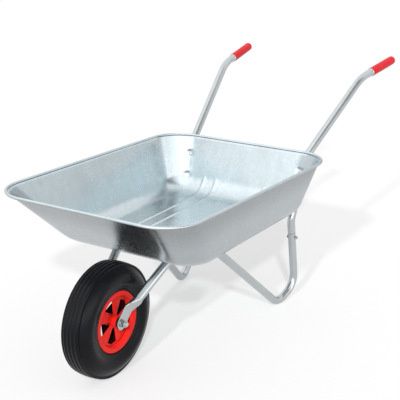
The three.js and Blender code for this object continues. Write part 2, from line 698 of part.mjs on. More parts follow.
// A point on the valve's centre line, which runs out from the axle through the middle of a window
function alongValve(distance) {
  const angle = rad(WINDOW_PHASE + (360 * VALVE.window) / WINDOW_COUNT);
  return vec(distance * Math.cos(angle), 0, distance * Math.sin(angle));
}

function wheelRim() {
  const inner = FLANGE_Y - RIM_FLANGE;
  const half = [
    [RIM_WELL_RADIUS, 0], [RIM_WELL_RADIUS, 10], [RIM_SEAT_RADIUS, 16], [RIM_SEAT_RADIUS, inner],
    [RIM_FLANGE_RADIUS - 1, inner], [RIM_FLANGE_RADIUS, inner + 1.2], [RIM_FLANGE_RADIUS - 1, FLANGE_Y],
    [RIM_BARREL_RADIUS + 1, FLANGE_Y], [RIM_BARREL_RADIUS, FLANGE_Y - 1],
    [RIM_BARREL_RADIUS, RIM_DISC_FACE], [HUB_RADIUS, RIM_DISC_FACE], [HUB_RADIUS, HUB_HALF_LENGTH],
  ];
  const outline = [...half.slice(1).reverse().map(([r, y]) => [r, -y]), ...half];
  const body = turned([[0, -HUB_HALF_LENGTH], ...outline, [0, HUB_HALF_LENGTH]]);
  const hollowY = RIM_DISC_FACE - RIM_DISC;
  const hollow = turned([[HUB_RADIUS, -hollowY], [RIM_BARREL_RADIUS, -hollowY],
    [RIM_BARREL_RADIUS, hollowY], [HUB_RADIUS, hollowY], [HUB_RADIUS, -hollowY]]);
  const bore = bar(vec(0, -HUB_HALF_LENGTH - 1, 0), vec(0, HUB_HALF_LENGTH + 1, 0), BUSH.radius + GAP,
    BUSH.radius + GAP, FINE_SIDES);
  const windows = Array.from({ length: WINDOW_COUNT }, (_, i) => windowCutter(i));
  const valveHole = bar(alongValve(RIM_BARREL_RADIUS - 4), alongValve(RIM_WELL_RADIUS + 2),
    VALVE.radius + GAP);
  return onAxle(cut(body, hollow, bore, valveHole, ...windows));
}

// The tyre's outer face on one side, from its bead up to the edge of the tread
function tyreSide() {
  const bead = FLANGE_Y - RIM_FLANGE - GAP;
  const foot = [[RIM_SEAT_RADIUS + GAP, bead - 9], [RIM_SEAT_RADIUS + GAP, bead],
    [RIM_FLANGE_RADIUS + 1, bead], [RIM_FLANGE_RADIUS + 4, FLANGE_Y + 2]];
  const shoulder = TYRE_RADIUS - 5;
  const low = RIM_FLANGE_RADIUS + 4;
  const side = [0.3, 0.55, 0.8].map((share) => {
    const bulge = Math.sin(Math.PI * lerp(0.2, 0.85, share)) ** 0.8;
    return [lerp(low, shoulder, share), (TYRE_WIDTH / 2) * bulge];
  });
  return [...foot, ...side, [shoulder, TREAD_WIDTH / 2 + 2]];
}

function treadPoints() {
  const pitch = TREAD_WIDTH / TREAD_GROOVES;
  const groove = pitch * 0.28;
  const crown = (y) => TYRE_RADIUS - 3 * (y / (TREAD_WIDTH / 2)) ** 2;
  const points = [];
  for (let i = 0; i < TREAD_GROOVES; i++) {
    const middle = TREAD_WIDTH / 2 - pitch * (i + 0.5);
    points.push([crown(middle + groove), middle + groove], [crown(middle) - TREAD_DEPTH, middle],
      [crown(middle - groove), middle - groove]);
  }
  return points;
}

const mirrorProfile = (profile) => profile.map(([r, y]) => [r, -y]).reverse();

// The hollow that the tyre leaves for the inner tube
const HOLLOW_MIDDLE = (RIM_SEAT_RADIUS + TYRE_RADIUS - TREAD_DEPTH - TYRE_WALL) / 2;
const HOLLOW_HALF_HEIGHT = TYRE_RADIUS - TREAD_DEPTH - TYRE_WALL - HOLLOW_MIDDLE;
const HOLLOW_HALF_WIDTH = TYRE_WIDTH / 2 - TYRE_WALL;

function hollowProfile(shrink, from, to, steps) {
  return Array.from({ length: steps + 1 }, (_, i) => {
    const angle = rad(lerp(from, to, i / steps));
    return [HOLLOW_MIDDLE + (HOLLOW_HALF_HEIGHT - shrink) * Math.sin(angle),
      (HOLLOW_HALF_WIDTH - shrink) * Math.cos(angle)];
  });
}

function tyre() {
  const side = tyreSide();
  const outside = [...side, ...treadPoints(), ...mirrorProfile(side)];
  const inside = hollowProfile(0, -30, 210, 8).reverse();
  const loop = [...outside, ...inside];
  return onAxle(turned([...loop, loop[0]]));
}

function innerTube() {
  const outer = turned(hollowProfile(TUBE_CLEARANCE, 0, 360, 12), INNER_TUBE_SIDES);
  const inner = turned(hollowProfile(TUBE_CLEARANCE + TUBE_SKIN, 0, 360, 12), INNER_TUBE_SIDES);
  const floor = HOLLOW_MIDDLE - HOLLOW_HALF_HEIGHT;
  const airHole = bar(alongValve(floor - 2), alongValve(floor + 6), VALVE.bore, VALVE.bore, 8);
  return onAxle(cut(outer, inner, airHole));
}

// The inner tube's flat sides come closer to the axle than its corners do
const VALVE_TOP = (HOLLOW_MIDDLE - HOLLOW_HALF_HEIGHT + TUBE_CLEARANCE)
  * Math.cos(Math.PI / INNER_TUBE_SIDES) - GAP;

function valveStem() {
  return onAxle(bar(alongValve(VALVE_TOP - VALVE.length), alongValve(VALVE_TOP), VALVE.radius - 0.8,
    VALVE.radius));
}

function valveCap() {
  const end = VALVE_TOP - VALVE.length - VALVE.capEnd;
  const mouth = end + VALVE.capLength;
  const body = bar(alongValve(end), alongValve(mouth), VALVE.capRadius - 0.6, VALVE.capRadius);
  const bore = bar(alongValve(end + VALVE.capEnd - GAP), alongValve(mouth + 1), VALVE.radius + GAP);
  return onAxle(cut(body, bore));
}

// ---- the barrow ----

const metal = (color, roughness) => new THREE.MeshStandardMaterial({ color, roughness, metalness: 0.9 });
const plastic = (color, roughness) => new THREE.MeshStandardMaterial({ color, roughness, metalness: 0 });

const MATERIALS = {
  sheet: metal(0xc3ccd1, 0.38),
  tube: metal(0xaab0b3, 0.42),
  bolt: metal(0xb6babb, 0.35),
  rim: plastic(0xe8231c, 0.35),
  grip: plastic(0xd8202c, 0.45),
  rubber: plastic(0x17191b, 0.65),
  tubeRubber: plastic(0x202224, 0.8),
  bush: plastic(0x2a2c2e, 0.5),
  brass: metal(0xb79a55, 0.35),
};

const barrow = new THREE.Group();

function add(name, geometry, material) {
  const flat = geometry.index ? geometry.toNonIndexed() : geometry;
  flat.computeVertexNormals();
  const mesh = new THREE.Mesh(flat, material);
  mesh.name = name;
  barrow.add(mesh);
}

add('tray', tray(traySeats()), MATERIALS.sheet);
for (const [sideName, side] of [['left', 1], ['right', -1]]) {
  add(`${sideName}_handle_tube`, handleTube(side), MATERIALS.tube);
  add(`${sideName}_frame_tube`, frameTube(side), MATERIALS.tube);
  add(`${sideName}_grip`, grip(side), MATERIALS.grip);
  for (const boltName of Object.keys(TRAY_BOLTS)) {
    add(`${sideName}_${boltName}_bolt`, trayBolt(side, boltName), MATERIALS.bolt);
    add(`${sideName}_${boltName}_nut`, trayNut(side, boltName), MATERIALS.bolt);
  }
  add(`${sideName}_leg_bolt`, legBolt(side), MATERIALS.bolt);
  add(`${sideName}_leg_nut`, legNut(side), MATERIALS.bolt);
  add(`${sideName}_axle_washer`, axleWasher(side), MATERIALS.bolt);
  add(`${sideName}_axle_spacer`, axleSpacer(side), MATERIALS.bolt);
  add(`${sideName}_wheel_bush`, wheelBush(side), MATERIALS.bush);
}
add('axle_bolt', axleBolt(), MATERIALS.bolt);
add('axle_nut', axleNut(), MATERIALS.bolt);
add('wheel_rim', wheelRim(), MATERIALS.rim);
add('tyre', tyre(), MATERIALS.rubber);
add('inner_tube', innerTube(), MATERIALS.tubeRubber);
add('valve_stem', valveStem(), MATERIALS.brass);
add('valve_cap', valveCap(), MATERIALS.bush);

const extent = new THREE.Box3().setFromObject(barrow);
const middle = (extent.min.x + extent.max.x) / 2;
for (const mesh of barrow.children) mesh.position.set(-middle, 0, -extent.min.z);

export default barrow;
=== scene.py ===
"""Looks of the garden wheelbarrow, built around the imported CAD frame.

Metres, in the row frame: +X forward to the wheel, +Y to the pusher's left, +Z up.
"""

import json
import math

import bmesh
import bpy
import numpy as np
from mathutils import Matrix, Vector

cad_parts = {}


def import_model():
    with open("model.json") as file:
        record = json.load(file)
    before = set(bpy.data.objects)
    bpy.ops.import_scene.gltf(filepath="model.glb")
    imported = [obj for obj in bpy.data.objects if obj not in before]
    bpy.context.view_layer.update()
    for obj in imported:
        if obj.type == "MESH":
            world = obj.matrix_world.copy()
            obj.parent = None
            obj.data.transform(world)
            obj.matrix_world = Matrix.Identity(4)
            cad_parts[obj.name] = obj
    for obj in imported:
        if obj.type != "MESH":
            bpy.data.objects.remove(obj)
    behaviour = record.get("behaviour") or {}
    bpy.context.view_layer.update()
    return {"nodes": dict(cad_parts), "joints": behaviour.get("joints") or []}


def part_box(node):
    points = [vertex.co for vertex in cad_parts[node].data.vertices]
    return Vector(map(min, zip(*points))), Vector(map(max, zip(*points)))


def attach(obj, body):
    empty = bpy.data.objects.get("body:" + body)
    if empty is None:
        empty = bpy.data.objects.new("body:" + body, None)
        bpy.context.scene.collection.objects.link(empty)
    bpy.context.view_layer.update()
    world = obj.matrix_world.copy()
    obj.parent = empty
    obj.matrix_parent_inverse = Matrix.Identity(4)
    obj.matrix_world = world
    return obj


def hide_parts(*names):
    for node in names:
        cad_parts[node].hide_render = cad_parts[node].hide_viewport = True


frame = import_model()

# ---- sizes, the same as the frame's ----

TRAY_MIDDLE = sum(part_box("tray")[i].x for i in (0, 1)) / 2
GAP = 0.0003
SHEET = 0.001
TRAY_LENGTH = 0.870
RIM_CORNER, FLOOR_CORNER = 0.105, 0.070
FLOOR_HEIGHT = 0.311
BEAD_RADIUS = 0.0043
BEAD_TO_WALL, BEAD_TO_WALL_TOP = 0.005, 0.004
FRONT_WALL = (47, 0.130)
REAR_WALL = (17.4, 0.075)
SIDE_WALL = (19, 0.060)
FRONT_RIM = (0.5025, 0.607 / 2)
REAR_RIM = (0.4865, 0.612 / 2)
PAD_DEPTH, PAD_RADIUS, PAD_FLARE = 0.0032, 0.0095, 0.003
TUBE, TUBE_WALL = 0.0125, 0.0015

AXLE = np.array(frame["joints"][0]["pos_m"])


def rad(degrees):
    return math.radians(degrees)


def lerp(a, b, t):
    return a + (b - a) * t


def smooth(t):
    t = np.clip(t, 0, 1)
    return t * t * (3 - 2 * t)


def unit(v):
    return np.asarray(v, float) / np.linalg.norm(v)


def vec(x, y, z):
    return np.array([x, y, z], float)


# ---- mesh helpers ----


def make_piece(name, verts, faces, material, body, slot, replaces=(), sharp=40, face_material=None):
    """A smooth-shaded piece that rides on a body and stands for some CAD nodes."""
    mesh = bpy.data.meshes.new(name)
    mesh.from_pydata([tuple(map(float, v)) for v in verts], [], [tuple(f) for f in faces])
    mesh.validate()
    bm = bmesh.new()
    bm.from_mesh(mesh)
    bmesh.ops.remove_doubles(bm, verts=bm.verts, dist=1e-7)
    bmesh.ops.recalc_face_normals(bm, faces=bm.faces)
    bm.to_mesh(mesh)
    bm.free()
    materials = material if isinstance(material, list) else [material]
    for m in materials:
        mesh.materials.append(m)
    mesh.polygons.foreach_set("use_smooth", [True] * len(mesh.polygons))
    mesh.set_sharp_from_angle(angle=rad(sharp))
    if face_material:
        for polygon in mesh.polygons:
            polygon.material_index = face_material(polygon)
    mesh.update()
    obj = bpy.data.objects.new(name, mesh)
    bpy.context.scene.collection.objects.link(obj)
    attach(obj, body)
    if replaces:
        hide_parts(*replaces)
    return obj


def loft(rings, closed=False, caps=True):
    """Vertices and faces of a body over a stack of rings with equal numbers of points."""
    rings = [np.asarray(r, float) for r in rings]
    count = len(rings[0])
    verts = np.concatenate(rings)
    faces = []
    for i in range(len(rings) if closed else len(rings) - 1):
        a, b = i * count, ((i + 1) % len(rings)) * count
        for j in range(count):
            k = (j + 1) % count
            faces.append((a + j, a + k, b + k, b + j))
    if caps and not closed:
        faces.append(tuple(range(count))[::-1])
        faces.append(tuple(range((len(rings) - 1) * count, len(rings) * count)))
    return verts, faces


def frame_of(direction):
    """Two unit vectors across a direction."""
    direction = unit(direction)
    helper = vec(0, 0, 1) if abs(direction[2]) < 0.9 else vec(1, 0, 0)
    a = unit(np.cross(helper, direction))
    return a, np.cross(direction, a)


def lathe(profile, origin, direction, sides=48, shape=None, closed=True):
    """Rings of [radius, height] about an axis. shape(angle, radius, height) may change the radius."""
    a, b = frame_of(direction)
    direction = unit(direction)
    rings = []
    for r, h in profile:
        ring = []
        for i in range(sides):
            angle = 2 * math.pi * i / sides
            radius = shape(angle, r, h) if shape else r
            ring.append(origin + direction * h + (a * math.cos(angle) + b * math.sin(angle)) * radius)
        rings.append(ring)
    return loft(rings, closed=closed)


def merged(*parts):
    verts, faces, base = [], [], 0
    for v, f in parts:
        verts.extend(v)
        faces.extend(tuple(i + base for i in face) for face in f)
        base += len(v)
    return verts, faces


# ---- material helpers ----

METALLIC = 0.96

def new_material(name):
    material = bpy.data.materials.new(name)
    material.use_nodes = True
    nodes, links = material.node_tree.nodes, material.node_tree.links
    shader = nodes["Principled BSDF"]
    return material, nodes, links, shader


def node(nodes, kind, **inputs):
    made = nodes.new(kind)
    for key, value in inputs.items():
        made.inputs[key.replace("_", " ")].default_value = value
    return made


def ramp(nodes, stops):
    made = nodes.new("ShaderNodeValToRGB")
    elements = made.color_ramp.elements
    while len(elements) < len(stops):
        elements.new(0.5)
    for element, (position, colour) in zip(elements, stops):
        element.position = position
        element.color = (*colour, 1) if len(colour) == 3 else colour
    return made


def grey(v):
    return (v, v, v)


def galvanised(name, colour, rough, spangle, bump, smear, painted_shade_band=None):
    """Zinc-coated steel: crystal mottle, soft smears left by pressing and rolling, and a gentle swell.

    The last argument, (bottom, top, raggedness, darkening), paints shade: the metal darkens upwards between the
    two heights, standing in for the shadow under the rim's bead.
    """
    material, nodes, links, shader = new_material(name)
    place = nodes.new("ShaderNodeTexCoord").outputs["Object"]
    crystal = node(nodes, "ShaderNodeTexVoronoi", Scale=190.0, Randomness=1.0)
    crystal.feature = "F1"
    warp = node(nodes, "ShaderNodeTexNoise", Scale=60.0, Detail=3.0)
    links.new(place, warp.inputs["Vector"])
    mixed = nodes.new("ShaderNodeVectorMath")
    mixed.operation = "MULTIPLY_ADD"
    mixed.inputs[1].default_value = (0.012, 0.012, 0.012)
    links.new(warp.outputs["Color"], mixed.inputs[0])
    links.new(place, mixed.inputs[2])
    links.new(mixed.outputs[0], crystal.inputs["Vector"])
    cloud = node(nodes, "ShaderNodeTexNoise", Scale=9.0, Detail=5.0, Roughness=0.6)
    links.new(place, cloud.inputs["Vector"])
    streak_place = nodes.new("ShaderNodeMapping")
    streak_place.inputs["Scale"].default_value = (42.0, 42.0, 5.0)
    links.new(place, streak_place.inputs["Vector"])
    streak = node(nodes, "ShaderNodeTexNoise", Scale=1.0, Detail=4.0, Roughness=0.55)
    links.new(streak_place.outputs[0], streak.inputs["Vector"])
    swell = node(nodes, "ShaderNodeTexNoise", Scale=5.0, Detail=1.0, Roughness=0.3)
    links.new(place, swell.inputs["Vector"])

    def scaled(source, low, high, out_low, out_high):
        made = nodes.new("ShaderNodeMapRange")
        for key, value in zip(("From Min", "From Max", "To Min", "To Max"), (low, high, out_low, out_high)):
            made.inputs[key].default_value = value
        links.new(source, made.inputs["Value"])
        return made.outputs["Result"]

    def add(a, b):
        made = nodes.new("ShaderNodeMath")
        made.operation = "ADD"
        links.new(a, made.inputs[0])
        links.new(b, made.inputs[1])
        return made.outputs[0]

    crystal_value = nodes.new("ShaderNodeSeparateColor")
    links.new(crystal.outputs["Color"], crystal_value.inputs[0])
    shade = add(
        add(
            scaled(crystal_value.outputs[0], 0, 1, -0.045 * spangle, 0.045 * spangle),
            scaled(cloud.outputs["Fac"], 0.3, 0.7, -0.05 * smear, 0.05 * smear),
        ),
        scaled(streak.outputs["Fac"], 0.3, 0.7, -0.05 * smear, 0.05 * smear),
    )
    # painted shade: darkening upwards towards the rim, in place of the bead's shadow
    if painted_shade_band:
        height = nodes.new("ShaderNodeSeparateXYZ")
        links.new(place, height.inputs[0])
        ragged_shade_height = add(height.outputs["Z"], scaled(streak.outputs["Fac"], 0.3, 0.7, -painted_shade_band[2], painted_shade_band[2]))
        shade = add(shade, scaled(ragged_shade_height, painted_shade_band[0], painted_shade_band[1], 0, -painted_shade_band[3]))
    bright = nodes.new("ShaderNodeMath")
    bright.operation = "ADD"
    bright.inputs[1].default_value = 1.0
    links.new(shade, bright.inputs[0])
    tint = nodes.new("ShaderNodeVectorMath")
    tint.operation = "SCALE"
    tint.inputs[0].default_value = colour
    links.new(bright.outputs[0], tint.inputs["Scale"])
    links.new(tint.outputs[0], shader.inputs["Base Color"])
    roughness = add(
        scaled(crystal_value.outputs[1], 0, 1, rough - 0.03, rough + 0.03),
        scaled(cloud.outputs["Fac"], 0.3, 0.7, -0.05 * smear, 0.05 * smear),
    )
    links.new(roughness, shader.inputs["Roughness"])
    shader.inputs["Metallic"].default_value = METALLIC
    wave = node(nodes, "ShaderNodeBump", Strength=bump, Distance=0.01)
    links.new(swell.outputs["Fac"], wave.inputs["Height"])
    links.new(wave.outputs[0], shader.inputs["Normal"])
    return material


def plastic(name, colour, dark, rough, bump=0.05, scale=700.0, specular=0.5, painted_shade_in_reflections=None):
    """Moulded plastic or rubber: faint colour drift and a fine moulded grain.

    The last argument is a painted shade: the colour that other pieces' reflections show in its place, instead of
    the plastic's own colour.
    """
    material, nodes, links, shader = new_material(name)
    place = nodes.new("ShaderNodeTexCoord").outputs["Object"]
    drift = node(nodes, "ShaderNodeTexNoise", Scale=14.0, Detail=4.0)
    grain = node(nodes, "ShaderNodeTexNoise", Scale=scale, Detail=3.0)
    links.new(place, drift.inputs["Vector"])
    links.new(place, grain.inputs["Vector"])
    tint = ramp(nodes, [(0.3, dark), (0.62, colour)])
    links.new(drift.outputs["Fac"], tint.inputs["Fac"])
    links.new(tint.outputs["Color"], shader.inputs["Base Color"])
    # painted shade: glossy rays see the given dark colour instead of the plastic
    if painted_shade_in_reflections:
        reflection_shade_mix = nodes.new("ShaderNodeMix")
        reflection_shade_mix.data_type = "RGBA"
        reflection_shade_mix.inputs[7].default_value = (*painted_shade_in_reflections, 1)
        links.new(nodes.new("ShaderNodeLightPath").outputs["Is Glossy Ray"], reflection_shade_mix.inputs[0])
        links.new(tint.outputs["Color"], reflection_shade_mix.inputs[6])
        links.new(reflection_shade_mix.outputs[2], shader.inputs["Base Color"])
    spread = nodes.new("ShaderNodeMapRange")
    spread.inputs["To Min"].default_value = rough - 0.05
    spread.inputs["To Max"].default_value = rough + 0.07
    links.new(grain.outputs["Fac"], spread.inputs["Value"])
    links.new(spread.outputs["Result"], shader.inputs["Roughness"])
    bumped = node(nodes, "ShaderNodeBump", Strength=bump, Distance=0.0003)
    links.new(grain.outputs["Fac"], bumped.inputs["Height"])
    links.new(bumped.outputs[0], shader.inputs["Normal"])
    shader.inputs["Specular IOR Level"].default_value = specular
    return material


SHEET_METAL = galvanised("sheet_metal", (0.53, 0.60, 0.63), 0.24, spangle=0.6, bump=0.25, smear=0.8)
# Painted shade: the tray sheet's outside is a darker copy of the same galvanised metal, with more painted shade
# towards the rim
SHADED_OUTER_METAL = galvanised("outer_sheet_painted_shade", (0.44, 0.475, 0.495), 0.24, spangle=0.4, bump=0.12,
                         smear=0.6, painted_shade_band=(0.400, 0.470, 0.012, 0.26))
TUBE_METAL = galvanised("tube_metal", (0.50, 0.53, 0.545), 0.20, spangle=0.4, bump=0.0, smear=0.6)
BOLT_METAL = galvanised("bolt_metal", (0.55, 0.56, 0.56), 0.26, spangle=0.3, bump=0.0, smear=0.3)
# Painted shade: in other pieces' reflections the rim shows nearly black instead of red
RIM_PLASTIC = plastic("rim_plastic", (0.95, 0.022, 0.014), (0.86, 0.016, 0.011), 0.42, specular=0.22,
                      painted_shade_in_reflections=(0.06, 0.02, 0.02))
# Painted shade: a near-black red for the rim's recess behind the blades, so the windows look dark inside
RIM_SHADE = plastic("rim_recess_painted_shade", (0.060, 0.003, 0.003), (0.030, 0.002, 0.002), 0.6, specular=0.1)
GRIP_PLASTIC = plastic("grip_plastic", (0.70, 0.012, 0.022), (0.62, 0.008, 0.015), 0.45, bump=0.12,
                       specular=0.25)
TYRE_RUBBER = plastic("tyre_rubber", (0.0040, 0.0046, 0.0066), (0.0028, 0.0032, 0.0046), 0.27,
                      scale=520.0, specular=0.16)
TUBE_RUBBER = plastic("tube_rubber", (0.014, 0.014, 0.015), (0.010, 0.010, 0.011), 0.6)
BUSH_PLASTIC = plastic("bush_plastic", (0.022, 0.023, 0.024), (0.016, 0.017, 0.018), 0.45)
BRASS = galvanised("valve_brass", (0.62, 0.46, 0.20), 0.3, spangle=0.2, bump=0.0, smear=0.4)

# ---- layout of the tubes, as in the frame ----


def bent_path(vertices, bends, step=4):
    """Points and tangents along straight lines joined by round bends."""
    vertices = [np.asarray(v, float) for v in vertices]
    stations = [(vertices[0], unit(vertices[1] - vertices[0]))]
    for i in range(1, len(vertices) - 1):
        before = unit(vertices[i] - vertices[i - 1])
        after = unit(vertices[i + 1] - vertices[i])
        turn = math.acos(np.clip(before @ after, -1, 1))
        radius = bends[i - 1]
        start = vertices[i] - before * radius * math.tan(turn / 2)
        inward = unit(after - before * (after @ before))
        steps = max(3, math.ceil(turn / rad(step)))
        for s in range(steps + 1):
            angle = turn * s / steps
            point = start + before * radius * math.sin(angle) + inward * radius * (1 - math.cos(angle))
            stations.append((point, before * math.cos(angle) + inward * math.sin(angle)))
    stations.append((vertices[-1], unit(vertices[-1] - vertices[-2])))
    return stations


TUBE_SIDES = 36


def section(station, thick, wide=None, flatness=1.0, sides=TUBE_SIDES):
    point, tangent = station
    wide = thick if wide is None else wide
    left = vec(0, 1, 0)
    across = unit(left - tangent * (left @ tangent))
    in_plane = np.cross(tangent, across)
    ring = []
    for i in range(sides):
        angle = 2 * math.pi * i / sides
        share = max(-1, min(1, flatness * math.cos(angle)))
        ring.append(point + across * thick * share + in_plane * wide * math.sin(angle))
    return ring


def on_side(side, points):
    return np.asarray(points, float) * vec(1, side, 1)


TYRE_WIDTH, TYRE_RADIUS = 0.090, AXLE[2]
HUB_HALF, BUSH_FLANGE = 0.038, 0.002
SPACER_START = HUB_HALF + BUSH_FLANGE + 2 * GAP
SPACER_LENGTH = 0.006
FORK_PLATE = 0.0032
FORK_HALF_GAP = TYRE_WIDTH / 2 + 0.009 + TUBE
PLATE_Y = SPACER_START + SPACER_LENGTH + GAP + FORK_PLATE / 2
FORK_DIRECTION = vec(math.cos(rad(45)), 0, -math.sin(rad(45)))
FORK_STEP_START, FORK_STEP_END = 0.081, 0.038
FORK_STEP = AXLE - FORK_DIRECTION * FORK_STEP_START + vec(0, FORK_HALF_GAP, 0)

FOOT = vec(TRAY_MIDDLE - 0.323, 0.185, 0)
FRAME_FORWARD = unit((FORK_STEP - FOOT) * vec(1, 1, 0))
RUN_HEIGHT = FLOOR_HEIGHT - PAD_DEPTH - GAP - TUBE
LEG_JOINT = 0.229


def frame_point(distance, height):
    return FOOT + FRAME_FORWARD * distance + vec(0, 0, height)


# The foot: slopes of its heel and of the front leg, lean of the rear leg (degrees), and its lengths
HEEL_SLOPE, FRONT_SLOPE, LEG_LEAN = 26.7, 42, 7.1
HEEL_LENGTH, TOE_BEND, FLOOR_RUN = 0.0975, 0.050, 0.167


def frame_vertices():
    heel, front = rad(HEEL_SLOPE), rad(FRONT_SLOPE)
    lift = math.cos((front - heel) / 2) / math.cos((front + heel) / 2)
    toe = TUBE + TOE_BEND * (1 - lift)
    heel_height = toe + HEEL_LENGTH * math.sin(heel)
    heel_back = -HEEL_LENGTH * math.cos(heel)
    rise = LEG_JOINT - heel_height
    run = (RUN_HEIGHT - toe) / math.tan(front)
    return [
        frame_point(heel_back + rise * math.tan(rad(LEG_LEAN)), LEG_JOINT),
        frame_point(heel_back, heel_height),
        frame_point(0, toe),
        frame_point(run, RUN_HEIGHT),
        frame_point(run + FLOOR_RUN, RUN_HEIGHT),
        FORK_STEP,
    ]


FRAME = frame_vertices()
FRAME_BENDS = [0.058, TOE_BEND, 0.060, 0.060]
HANDLE_BENDS = [0.150, 0.060, 0.060]
LEG_TOP, HEEL, RUN_START, RUN_END = FRAME[0], FRAME[1], FRAME[3], FRAME[4]
LEG_UP = unit(LEG_TOP - HEEL)
WALL_LEAN = rad(REAR_WALL[0])
WALL_INWARD = vec(math.cos(WALL_LEAN), 0, math.sin(WALL_LEAN))
REAR_EDGE = TRAY_MIDDLE - TRAY_LENGTH / 2


def behind_wall(height, y):
    face = REAR_EDGE + BEAD_TO_WALL + (REAR_RIM[0] - BEAD_TO_WALL_TOP - height) * math.tan(WALL_LEAN)
    return vec(face - (PAD_DEPTH + GAP + TUBE) / math.cos(WALL_LEAN), y, height)


# The handle's straight and its top, as (length, degrees above level), and how far out its bends lie
STRAIGHT, TOP_RUN = (0.362, 35.7), (0.215, 8.5)
RIM_BEND_Y, UPPER_BEND_Y, HANDLE_END_Y = 0.211, 0.2625, 0.286
RIM_BEND_DROP = 0.0176


def handle_vertices():
    rim_bend = behind_wall(REAR_RIM[0] - RIM_BEND_DROP, RIM_BEND_Y)
    leg_run = LEG_UP[0] / LEG_UP[2]
    rise = (LEG_TOP[0] - behind_wall(LEG_JOINT, 0)[0]) / (-math.tan(WALL_LEAN) - leg_run)
    leg_bend = LEG_TOP + LEG_UP * rise / LEG_UP[2]
    upper = rim_bend + vec(-STRAIGHT[0] * math.cos(rad(STRAIGHT[1])), 0, STRAIGHT[0] * math.sin(rad(STRAIGHT[1])))
    upper[1] = UPPER_BEND_Y
    end = upper + vec(-TOP_RUN[0] * math.cos(rad(TOP_RUN[1])), 0, TOP_RUN[0] * math.sin(rad(TOP_RUN[1])))
    end[1] = HANDLE_END_Y
    return [end, upper, rim_bend, leg_bend, LEG_TOP + LEG_UP * GAP]


HANDLE = handle_vertices()
HANDLE_END, UPPER_BEND, RIM_BEND, LEG_BEND = HANDLE[:4]


def on_wall_run(drop):
    share = (REAR_RIM[0] - drop - RIM_BEND[2]) / (LEG_BEND[2] - RIM_BEND[2])
    return lerp(RIM_BEND, LEG_BEND, share)


UP = vec(0, 0, 1)
UPPER_DROP, LOWER_DROP = 0.0645, 0.1325
REAR_BOLT, FRONT_BOLT = 0.038, 0.129
TRAY_BOLTS = {
    "upper_wall": (on_wall_run(UPPER_DROP), WALL_INWARD),
    "lower_wall": (on_wall_run(LOWER_DROP), WALL_INWARD),
    "rear_floor": (RUN_START + FRAME_FORWARD * REAR_BOLT, UP),
    "front_floor": (RUN_START + FRAME_FORWARD * FRONT_BOLT, UP),
}
SIDES = (("left", 1), ("right", -1))

# ---- tray ----

CORNERS = ((1, 1, FRONT_WALL, FRONT_RIM), (-1, 1, REAR_WALL, REAR_RIM), (-1, -1, REAR_WALL, REAR_RIM),
           (1, -1, FRONT_WALL, FRONT_RIM))
CORNER_STEPS = 22
LONG_STEPS, SHORT_STEPS = 120, 84
WALL_STEPS, CURVE_STEPS, FLOOR_STEPS = 26, 18, 60


def wall_at(wall, rim, depth):
    slope, radius = rad(wall[0]), wall[1]
    straight = rim - BEAD_TO_WALL_TOP - FLOOR_HEIGHT - radius * (1 - math.sin(slope))
    down = min(depth, 1)
    lean = lerp(slope, math.pi / 2, max(depth - 1, 0))
    inset = BEAD_TO_WALL + down * straight * math.tan(slope) + radius * (math.cos(slope) - math.cos(lean))
    return inset, FLOOR_HEIGHT + (1 - down) * straight + radius * (1 - math.sin(lean)), lean


def around(corner_points):
    """Joins the arcs of the four corners with evenly spaced points along the straight sides."""
    ring = []
    for index, arc in enumerate(corner_points):
        ring.extend(arc)
        nxt = corner_points[(index + 1) % 4][0]
        count = LONG_STEPS if index % 2 == 0 else SHORT_STEPS
        ring.extend(lerp(arc[-1], nxt, i / count) for i in range(1, count))
    return np.array(ring)


def tray_ring(depth):
    arcs = []
    for index, (sx, sy, wall, (rim, half_width)) in enumerate(CORNERS):
        end, side = wall_at(wall, rim, depth), wall_at(SIDE_WALL, rim, depth)
        radius = lerp(RIM_CORNER, FLOOR_CORNER, (rim - end[1]) / (rim - FLOOR_HEIGHT))
        cx = TRAY_MIDDLE + sx * (TRAY_LENGTH / 2 - end[0] - radius)
        cy = sy * (half_width - side[0] - radius)
        arc = []
        for i in range(CORNER_STEPS + 1):
            angle = (index + i / CORNER_STEPS) * math.pi / 2
            share = math.sin(angle) ** 2
            height = lerp(end[1], side[1], share)
            arc.append(vec(cx + radius * math.cos(angle), cy + radius * math.sin(angle), height))
        arcs.append(arc)
    return around(arcs)


def bead_ring(out, up):
    arcs = []
    for index, (sx, sy, _, (rim, half_width)) in enumerate(CORNERS):
        cx = TRAY_MIDDLE + sx * (TRAY_LENGTH / 2 - RIM_CORNER)
        cy = sy * (half_width - RIM_CORNER)
        radius = RIM_CORNER + out
        angles = [(index + i / CORNER_STEPS) * math.pi / 2 for i in range(CORNER_STEPS + 1)]
        arcs.append([vec(cx + radius * math.cos(a), cy + radius * math.sin(a), rim + up) for a in angles])
    return around(arcs)


RIB_PLACES = (0.090, 0.135)
RIB_HALF, RIB_RISE = 0.0062, 0.0026
RIB_CLIMB, RIB_FRONT = 0.052, 0.225
CHANNEL_DEPTH, CHANNEL_HALF = 0.0016, 0.002
CHANNEL_END = 0.016


